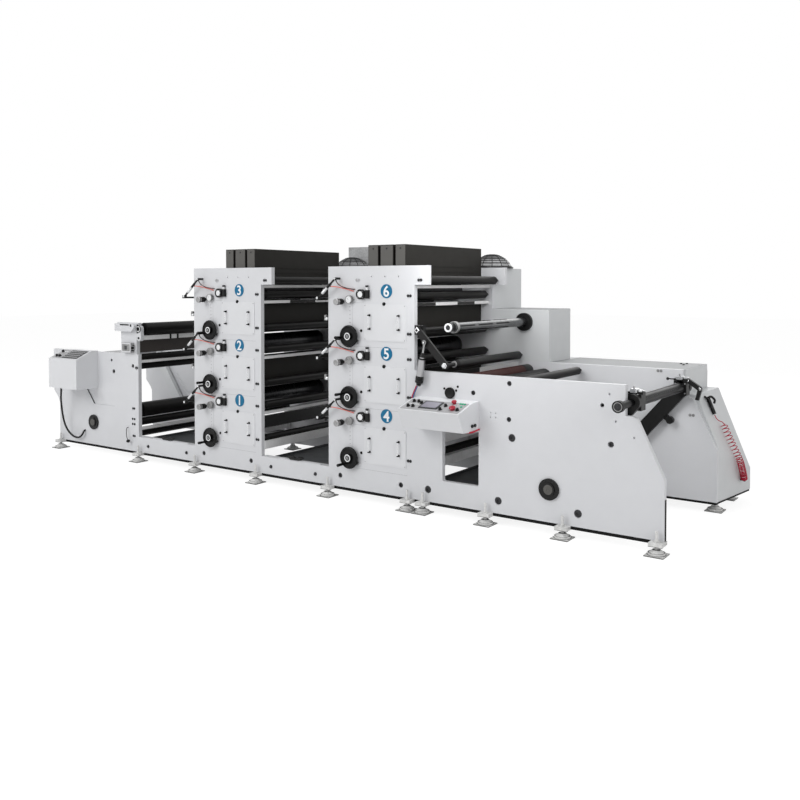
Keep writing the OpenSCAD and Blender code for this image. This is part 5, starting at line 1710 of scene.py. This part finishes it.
@dataclass
class Frames:
    """Side plates, rails, feet, web guide and the blow gun: painted shade under them and round the feet,
    bolts, clips and covers.
    """

    under_low: float = 0.0640
    under_high: float = 0.0879
    cover_z: float = 0.328
    clip_top: float = 1.492
    clip_pitch: float = 0.508

    def covers(self) -> None:
        """Gives the bearing covers their cast centres and screws."""
        screws, centres = [], Shape()
        profile = mm((0, 0), (36, 0), (34, 2), (10, 3), (10, 1), (0, 1))
        for x in (LAYOUT.unwinder_x + 0.723, LAYOUT.rewinder_x + 1.178):
            centres.lathe(near_point(x, self.cover_z, 0.024), NEAR, profile, 40)
            flange = near_point(x, self.cover_z, 0.016)
            screws += [(flange + around(60 * step, 0.064), NEAR) for step in range(4)]
        centres.piece("cover_centres", Stock.HOOD_END)
        REPEAT.set_out("cover_screws", cap_screw(0.005, 0.005), screws, Stock.BOLT)

    def rails(self) -> None:
        """Sets the bolts of the base rails, and near-black strips of painted shade under the plates and
        rails, on the lower part of the rewinder plate's end face and under the end cover.
        """
        bolts = [near_place(x, 0.160) for x in (-1.884, -1.310, -0.182, 0.344)]
        REPEAT.set_out("rail_bolts", hex_bolt(0.013, 0.012), bolts, Stock.BOLT)
        # Near-black strips painted as shade under the plates' bottom edges, on the rewinder plate's end face
        # and under the end cover.
        strips = Shape()
        near, far, end = LAYOUT.near_y, LAYOUT.far_y, LAYOUT.rewinder_end
        edges = (
            LAYOUT.unwinder_x + 0.106, LAYOUT.bay_1_x, LAYOUT.towers[0], LAYOUT.bay_2_x,
            LAYOUT.towers[1], LAYOUT.rewinder_x, end - 0.001,
        )
        for left, right in zip(edges, edges[1:]):
            start = (left + 0.002, near + 0.001, self.under_low)
            strips.box(start, (right - 0.002, near + 0.038, self.under_high), 0.001)
        # Painted shade on the lower part of the rewinder plate's end face.
        strips.box((end - 0.001, near + 0.010, 0.0885), (end + 0.0016, near + 0.0395, 0.365), 0.0006)
        start = (LAYOUT.rewinder_x + 0.9, far + 0.001, self.under_low + 0.005)
        strips.box(start, (end - 0.003, far + 0.038, self.under_high), 0.001)
        # Painted shade under the end cover.
        cover = ((-0.030, 0.042), (-0.002, 0.042), (0.090, 0.642), (0.062, 0.642))
        strips.prism([Vector((end + dx, far + dy, 0.0710)) for dx, dy in cover], UP * 0.0169)
        strips.piece("frame_undersides", Stock.EDGE)

    def feet(self) -> None:
        """Gives the feet painted shade: dark sides on their plates, dark rings round their pads and dark
        lines under their flanges.
        """
        x0, x1, x2, x3 = LAYOUT.unwinder_x, LAYOUT.bay_1_x, LAYOUT.towers[0], LAYOUT.bay_2_x
        x4, x5, x6 = LAYOUT.towers[1], LAYOUT.rewinder_x, LAYOUT.rewinder_end
        near, far = LAYOUT.near_y, LAYOUT.far_y
        front = [
            x0 + 0.165, x1 + 0.030, x2 + 0.030, x3 - 0.045, x4 + 0.012,
            x5 - 0.050, x5 + 0.097, x5 + 0.667, x6 - 0.720, x6 - 0.040,
        ]
        places = [(x, near - 0.032) for x in front]
        places += [(x, far + 0.072) for x in front[:2]] + [(x, far + 0.100) for x in front[2:]]
        places += [(x, far + 0.475) for x in (x2 + 0.120, x3 - 0.120, x4 + 0.120, x5 - 0.120)]
        places += [(x, far + 0.555) for x in (x5 + 0.700, x6 - 0.060)]
        spots = [((x, y, 0.0), UP) for x, y in places]
        # Painted shade: a dark skirt on the foot plates' sides, just below their light tops.
        edge = Shape().box((-0.0676, -0.0676, 0.0004), (0.0676, 0.0676, 0.0074), 0.0006)
        REPEAT.set_out("foot_plate_edges", edge, spots, Stock.FOOT_PLATE, spin=0)
        # Painted shade: thin dark rings round the pads and the cone.
        shade_rings = Shape()
        for profile, sides in (
            (mm((50, 7.8), (64, 7.8), (64, 8.6), (58.5, 8.6)), 32),
            (mm((48, 21.8), (56, 21.8), (55.5, 22.4), (48, 22.4)), 32),
            (mm((13, 39.5), (29, 39.5), (28.5, 40.4), (13, 40.4)), 24),
        ):
            shade_rings.lathe((0, 0, 0), UP, profile, sides)
        REPEAT.set_out("foot_grooves", shade_rings, spots, Stock.BOLT, spin=0)
        # Painted shadow: thin dark lines under the feet's flanges.
        shadows, y = Shape(), near - 0.068
        for x in front:
            shadows.box((x - 0.0485, y - 0.0006, 0.0612), (x + 0.0485, y + 0.030, 0.0640), 0.0004)
        shadows.piece("foot_flange_shadows", Stock.BOLT)

    def display(self) -> None:
        """Gives the web guide's display its frame, field, window and plugs."""
        base = near_point(LAYOUT.bay_1_x - 0.214, 1.101)
        for name, stock, low, high, bevel in (
            ("display_frame", Stock.COVER, (0.003, -0.0445, 0.003), (0.147, -0.0415, 0.097), 0.001),
            ("display_field", Stock.CAST, (0.014, -0.0455, 0.014), (0.136, -0.0435, 0.086), 0.0006),
            ("display_window", Stock.KEYS, (0.052, -0.0465, 0.030), (0.092, -0.0450, 0.070), 0.0006),
        ):
            Shape().box(base + Vector(low), base + Vector(high), bevel).piece(name, stock)
        plug = base + Vector((0.150, -0.040, 0.040))
        plugs = Shape().box(plug, plug + Vector((0.016, 0.028, 0.018)), 0.002)
        plugs.rod(base + Vector((0.150, -0.030, 0.022)), ALONG, 0.030, 0.006)
        plugs.rod(base + Vector((0.150, -0.018, 0.074)), ALONG, 0.022, 0.005)
        plugs.piece("display_plugs", Stock.KNOB)

    def web_guide(self) -> None:
        """Sets the bearing rings and hubs of the guide's rollers and the clamps of its bars."""
        y, x1 = LAYOUT.near_y, LAYOUT.bay_1_x
        rings, hubs = Shape(), Shape()
        for face, out in ((y, NEAR), (LAYOUT.far_y + PLATE_THICK, ACROSS)):
            spot = Vector((x1 + 0.006, face, 1.343))
            rings.lathe(spot, out, mm((21, -1), (30, -1), (30, 5), (27, 7), (21, 5), (21, -1)), 36)
            hubs.lathe(spot, out, mm((30, -1), (37, -1), (37, 3.5), (30, 3.5)), 36)
            hubs.lathe(spot, out, mm((0, -1), (20.5, -1), (20.5, 3), (0, 4)), 24)
            hubs.lathe((x1 + 0.010, face, 1.251), out, mm((0, -1), (12, -1), (12, 6), (0, 8)), 6)
        for low, high in (
            ((-2.262, y - 0.0485, 1.378), (-2.120, y - 0.0440, 1.391)),
            ((-2.100, y - 0.0485, 1.366), (-2.080, y - 0.0440, 1.391)),
            ((-2.050, y - 0.006, 1.300), (-2.034, y + 0.001, 1.390)),
        ):
            hubs.box(low, high, 0.001)
        for across in (-0.402, -0.307):
            hubs.box((-2.0352, across - 0.011, 1.2262), (-2.0098, across + 0.011, 1.2758), 0.001)
        rings.piece("guide_bearing_rings", Stock.WHITE)
        hubs.piece("guide_bearing_hubs", Stock.KNOB)

    def plate_wires(self) -> None:
        """Lays the control box's thin cable and the brake wire with its ball on the unwinder's plate."""
        tail = (
            (-2.879, 0.690, 0.002), (-2.879, 0.672, 0.004), (-2.818, 0.600, 0.004), (-2.760, 0.528, 0.004),
        )
        wire = (
            (-2.2006, 0.322, -0.002), (-2.2006, 0.320, 0.018), (-2.198, 0.285, 0.027),
            (-2.188, 0.235, 0.031), (-2.166, 0.198, 0.0325),
        )
        for name, route, radius in (("control_box_tail", tail, 0.0045), ("brake_wire", wire, 0.0035)):
            path = smooth([near_point(*point) for point in route], 5)
            Shape().tube(path, radius, 8).piece(name, Stock.BOLT)
        ball = mm((0, 0), (10, 2), (17, 8), (19, 17), (17, 26), (10, 32), (0, 34))
        foot = near_point(-2.1632, 0.174, 0.0325)
        turned_piece("brake_wire_ball", Stock.KNOB, "root", foot, UP, ball, 20)

    def press_disc(self) -> None:
        """Sets the lugs and the ridged face of the press roller's disc."""
        x, z = LAYOUT.rewinder_x + 0.336, 0.962
        lugs = [near_place(x + dx, z + dz) for dx, dz in ((-0.054, 0.030), (0.054, 0.022), (0.068, 0.052))]
        REPEAT.set_out("press_disc_lugs", hex_bolt(0.0075, 0.007), lugs, Stock.KNOB)
        ridge = mm((0, 0), (40, 0), (40, 1.2), (32, 1.8), (30, 0.8), (0, 0.8))
        turned_piece("press_disc_face", Stock.KNOB, "root", near_point(x, z, 0.014), NEAR, ridge, 40)

    def sleeves(self) -> None:
        """Covers bars in the bays and units, the rewinder plate's corner and a roller's end in black."""
        shape = Shape()
        y, far, x = LAYOUT.near_y, LAYOUT.far_y, LAYOUT.rewinder_x
        shape.box((x + 0.2535, y + 0.042, 1.0645), (x + 0.2705, -0.235, 1.1095), 0.001)
        for edge in (LAYOUT.bay_2_x, x):
            shape.box((edge - 0.0335, y + 0.0405, 0.4905), (edge - 0.0065, far - 0.0005, 0.6015), 0.001)
        first, second = LAYOUT.towers
        for edge, start, end, deck in (
            (first, y + 0.42, y + 0.78, 0), (second, y + 0.0405, y + 0.36, 0),
            (second, y + 0.70, y + 0.99, 0), (second, y + 0.0405, far - 0.001, 1),
        ):
            top = LAYOUT.unit_top - deck * LAYOUT.pitch
            shape.box((edge + 0.8195, start, top - 0.1205), (edge + 0.8565, end, top - 0.0935), 0.001)
        shape.box((x - 0.0005, y - 0.0008, 1.3995), (x + 0.0815, y + 0.0408, 1.4765), 0.001)
        sleeve = mm((58.3, 0), (58.8, 1), (58.8, 138), (58.3, 139), (58.3, 0))
        shape.lathe((x + 0.395, 0.246, 1.040), ACROSS, sleeve, 40)
        shape.piece("light_bar_sleeve", Stock.BLACK)

    def edge_clips(self) -> None:
        """Sets the small clips with nuts on the towers' edges."""
        clips, nuts = Shape(), []
        for edge in LAYOUT.towers:
            for number in (0, 1):
                low = near_point(edge - 0.052, self.clip_top - self.clip_pitch * number, -0.004)
                clips.box(low, low + Vector((0.053, 0.030, 0.026)), 0.002)
                clips.box(low + UP * 0.020, low + Vector((0.024, 0.030, 0.046)), 0.002)
                nuts.append((low + Vector((0.028, 0.0, 0.013)), NEAR))
        clips.piece("edge_clips", Stock.CAST)
        REPEAT.set_out("edge_clip_nuts", hex_bolt(0.010, 0.010), nuts, Stock.BRIGHT)

    def plate_bolts(self) -> None:
        """Sets the screws on the end cover's cabinet and the bolt pairs of the far plate."""
        tops = [((x, y, 1.114), UP) for x, y in ((2.9509, 0.9675), (2.9998, 0.877), (2.9907, 0.995))]
        REPEAT.set_out("cabinet_top_screws", hex_bolt(0.010, 0.010), tops, Stock.KNOB)
        pairs = [
            ((x + dx, LAYOUT.far_y, z), NEAR)
            for x, z in ((3.201, 0.7604), (2.939, 1.0985))
            for dx in (-0.013, 0.013)
        ]
        REPEAT.set_out("far_plate_bolts", hex_bolt(0.0095, 0.008), pairs, Stock.CAST)

    def blow_gun(self) -> None:
        """Gives the blow gun its hook and trigger."""
        head = (3.2769, 0.655, 0.8807)
        hook = (
            (0.0, 0.0, 0.008), (0.018, 0.0, 0.012), (0.034, 0.0, 0.001),
            (0.046, 0.0, -0.016), (0.040, 0.0, -0.040),
        )
        trigger = ((0.004, -0.012, -0.010), (0.024, -0.016, -0.045), (0.030, -0.014, -0.080))
        for name, stock, route, radius in (
            ("gun_hook", Stock.KNOB, hook, 0.0095), ("gun_trigger", Stock.BOLT, trigger, 0.0055),
        ):
            Shape().tube(smooth(route, 5, head), radius, 8).piece(name, stock)

    def build(self) -> None:
        """Dresses the frames."""
        self.covers()
        self.rails()
        self.display()
        self.web_guide()
        self.plate_wires()
        self.press_disc()
        self.sleeves()
        self.edge_clips()
        self.plate_bolts()
        self.feet()
        self.blow_gun()


@dataclass
class Cabinets:
    """Backs and lids of the drive cabinets, and the domed blowers on the towers."""

    margin: float = 0.05
    line: float = 0.0015
    dome_radius: float = 0.190
    dome_height: float = 0.133
    dome_z: float = 1.946

    def doors(self, seams: Shape, left: float, right: float, y: float, low: float, high: float) -> None:
        """Scores the outline of a pair of doors and the seam between them.

        Args:
            seams: the shape that takes the lines.
            left: X of the pair's left side.
            right: X of its right side.
            y: the cabinet's back.
            low: height of the pair's lower edge.
            high: height of its upper edge.
        """
        for x in (left, (left + right) / 2, right):
            seams.box((x - self.line, y - 0.001, low), (x + self.line, y + 0.0004, high))
        for z in (low, high):
            seams.box((left, y - 0.001, z - self.line), (right, y + 0.0004, z + self.line))

    def backs(self) -> None:
        """Scores the doors of the cabinets' backs and sets their locks, hinges and vents."""
        seams, locks, hinges, vents = Shape(), [], [], []
        low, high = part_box("tower_drive_cabinets")
        y, z0, z1 = high[1], low[2] + self.margin, high[2] - self.margin
        first, second = LAYOUT.towers
        for left, right in ((first + 0.03, LAYOUT.bay_2_x - 0.03), (second + 0.03, LAYOUT.rewinder_x - 0.03)):
            middle = (left + right) / 2
            self.doors(seams, left, right, y, z0, z1)
            locks += [((middle + dx, y, 1.05), ACROSS) for dx in (-0.05, 0.05)]
            for x in (left + 0.004, right - 0.004):
                hinges += [((x, y + 0.004, z), UP) for z in (z0 + 0.20, 1.00, z1 - 0.25)]
            for row in range(8):
                height = z0 + 0.16 + 0.022 * row
                vents += [((x, y, height), ACROSS) for x in ((left + middle) / 2, (right + middle) / 2)]
        low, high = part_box("rewinder_drive_cabinets")
        left, right = LAYOUT.rewinder_x + 0.05, LAYOUT.rewinder_x + 1.75
        self.doors(seams, left, right, high[1], low[2] + self.margin, 1.06)
        locks += [((x - 0.06, high[1], 0.62), ACROSS) for x in ((left + right) / 2, right)]
        seams.piece("cabinet_seams", Stock.SEAM)
        lock = turned(mm((16, -1), (16, 3), (12, 5), (0, 5)), 20)
        lock.box((-0.003, -0.010, 0.004), (0.003, 0.010, 0.0065), 0.0005)
        REPEAT.set_out("cabinet_locks", lock, locks, Stock.STEEL, spin=0)
        hinge = turned(mm((0, -30), (6, -30), (6, 30), (0, 30)), 12)
        REPEAT.set_out("cabinet_hinges", hinge, hinges, Stock.STEEL, spin=0)
        vent = Shape().box((-0.07, -0.004, -0.001), (0.07, 0.004, 0.0012), 0.0005)
        REPEAT.set_out("cabinet_vents", vent, vents, Stock.VENT, spin=0)

    def lids(self) -> None:
        """Lays the thin grey lids on the rewinder's cabinets."""
        low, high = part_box("rewinder_drive_cabinets")
        x, far = LAYOUT.rewinder_x, LAYOUT.far_y
        lids = Shape()
        for x0, x1, y0, y1, z in (
            (0.004, 0.566, low[1] + 0.004, low[1] + 0.436, high[2]),
            (0.574, 1.746, far + 0.044, far + 0.641, 1.114),
        ):
            lids.box((x + x0, y0, z - 0.0005), (x + x1, y1, z + 0.0015), 0.0008)
        lids.piece("cabinet_lids", Stock.LID)

    def dome_point(self, centre: Vector, reach: float, angle: float) -> Vector:
        """A point on a blower's dome.

        Args:
            centre: middle of the dome's foot.
            reach: distance from its axis.
            angle: turn about its axis, in radians.

        Returns:
            The point.
        """
        ball = (self.dome_radius**2 + self.dome_height**2) / (2 * self.dome_height)
        height = self.dome_height - ball + math.sqrt(ball * ball - reach * reach)
        return centre + Vector((reach * math.cos(angle), reach * math.sin(angle), height))

    def blowers(self) -> None:
        """Winds dark vent wires over the blower domes and lays their black skirts."""
        wires, skirts = Shape(), Shape()
        skirt = mm((199.5, 0), (200.6, 1), (200.6, 14), (199.5, 16.5), (186, 16.5))
        y = LAYOUT.far_y + PLATE_THICK + self.dome_radius + 0.016
        for edge in LAYOUT.towers:
            centre = Vector((edge + 0.747, y, self.dome_z))
            skirts.lathe(centre, UP, skirt, 48)
            for step in range(9):
                reach = 0.030 + 0.019 * step
                ring = [self.dome_point(centre, reach, math.tau * turn / 32) for turn in range(33)]
                wires.tube(ring, 0.0046 + 0.0012 * (step % 3), 6)
            for step in range(12):
                angle = math.tau * step / 12
                spoke = [self.dome_point(centre, 0.030 + 0.0255 * row, angle) for row in range(7)]
                wires.tube(spoke, 0.0042, 6)
        wires.piece("blower_wires", Stock.VENT)
        skirts.piece("blower_skirts", Stock.BLACK)

    def build(self) -> None:
        """Builds backs, lids and blowers."""
        self.backs()
        self.lids()
        self.blowers()


def main() -> None:
    """Builds the scene in order."""
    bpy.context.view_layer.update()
    studio = Studio()
    studio.camera()
    PAINT.dress()
    Cords().build()
    studio.build()
    parts = (
        Frames(), Cabinets(), PlateHardware(), UnitFittings(), Handwheels(),
        Digits(), Hoods(), Controls(), WindingStation(),
    )
    for part in parts:
        log.info("building %s", type(part).__name__)
        part.build()


if __name__ == "__main__":
    main()
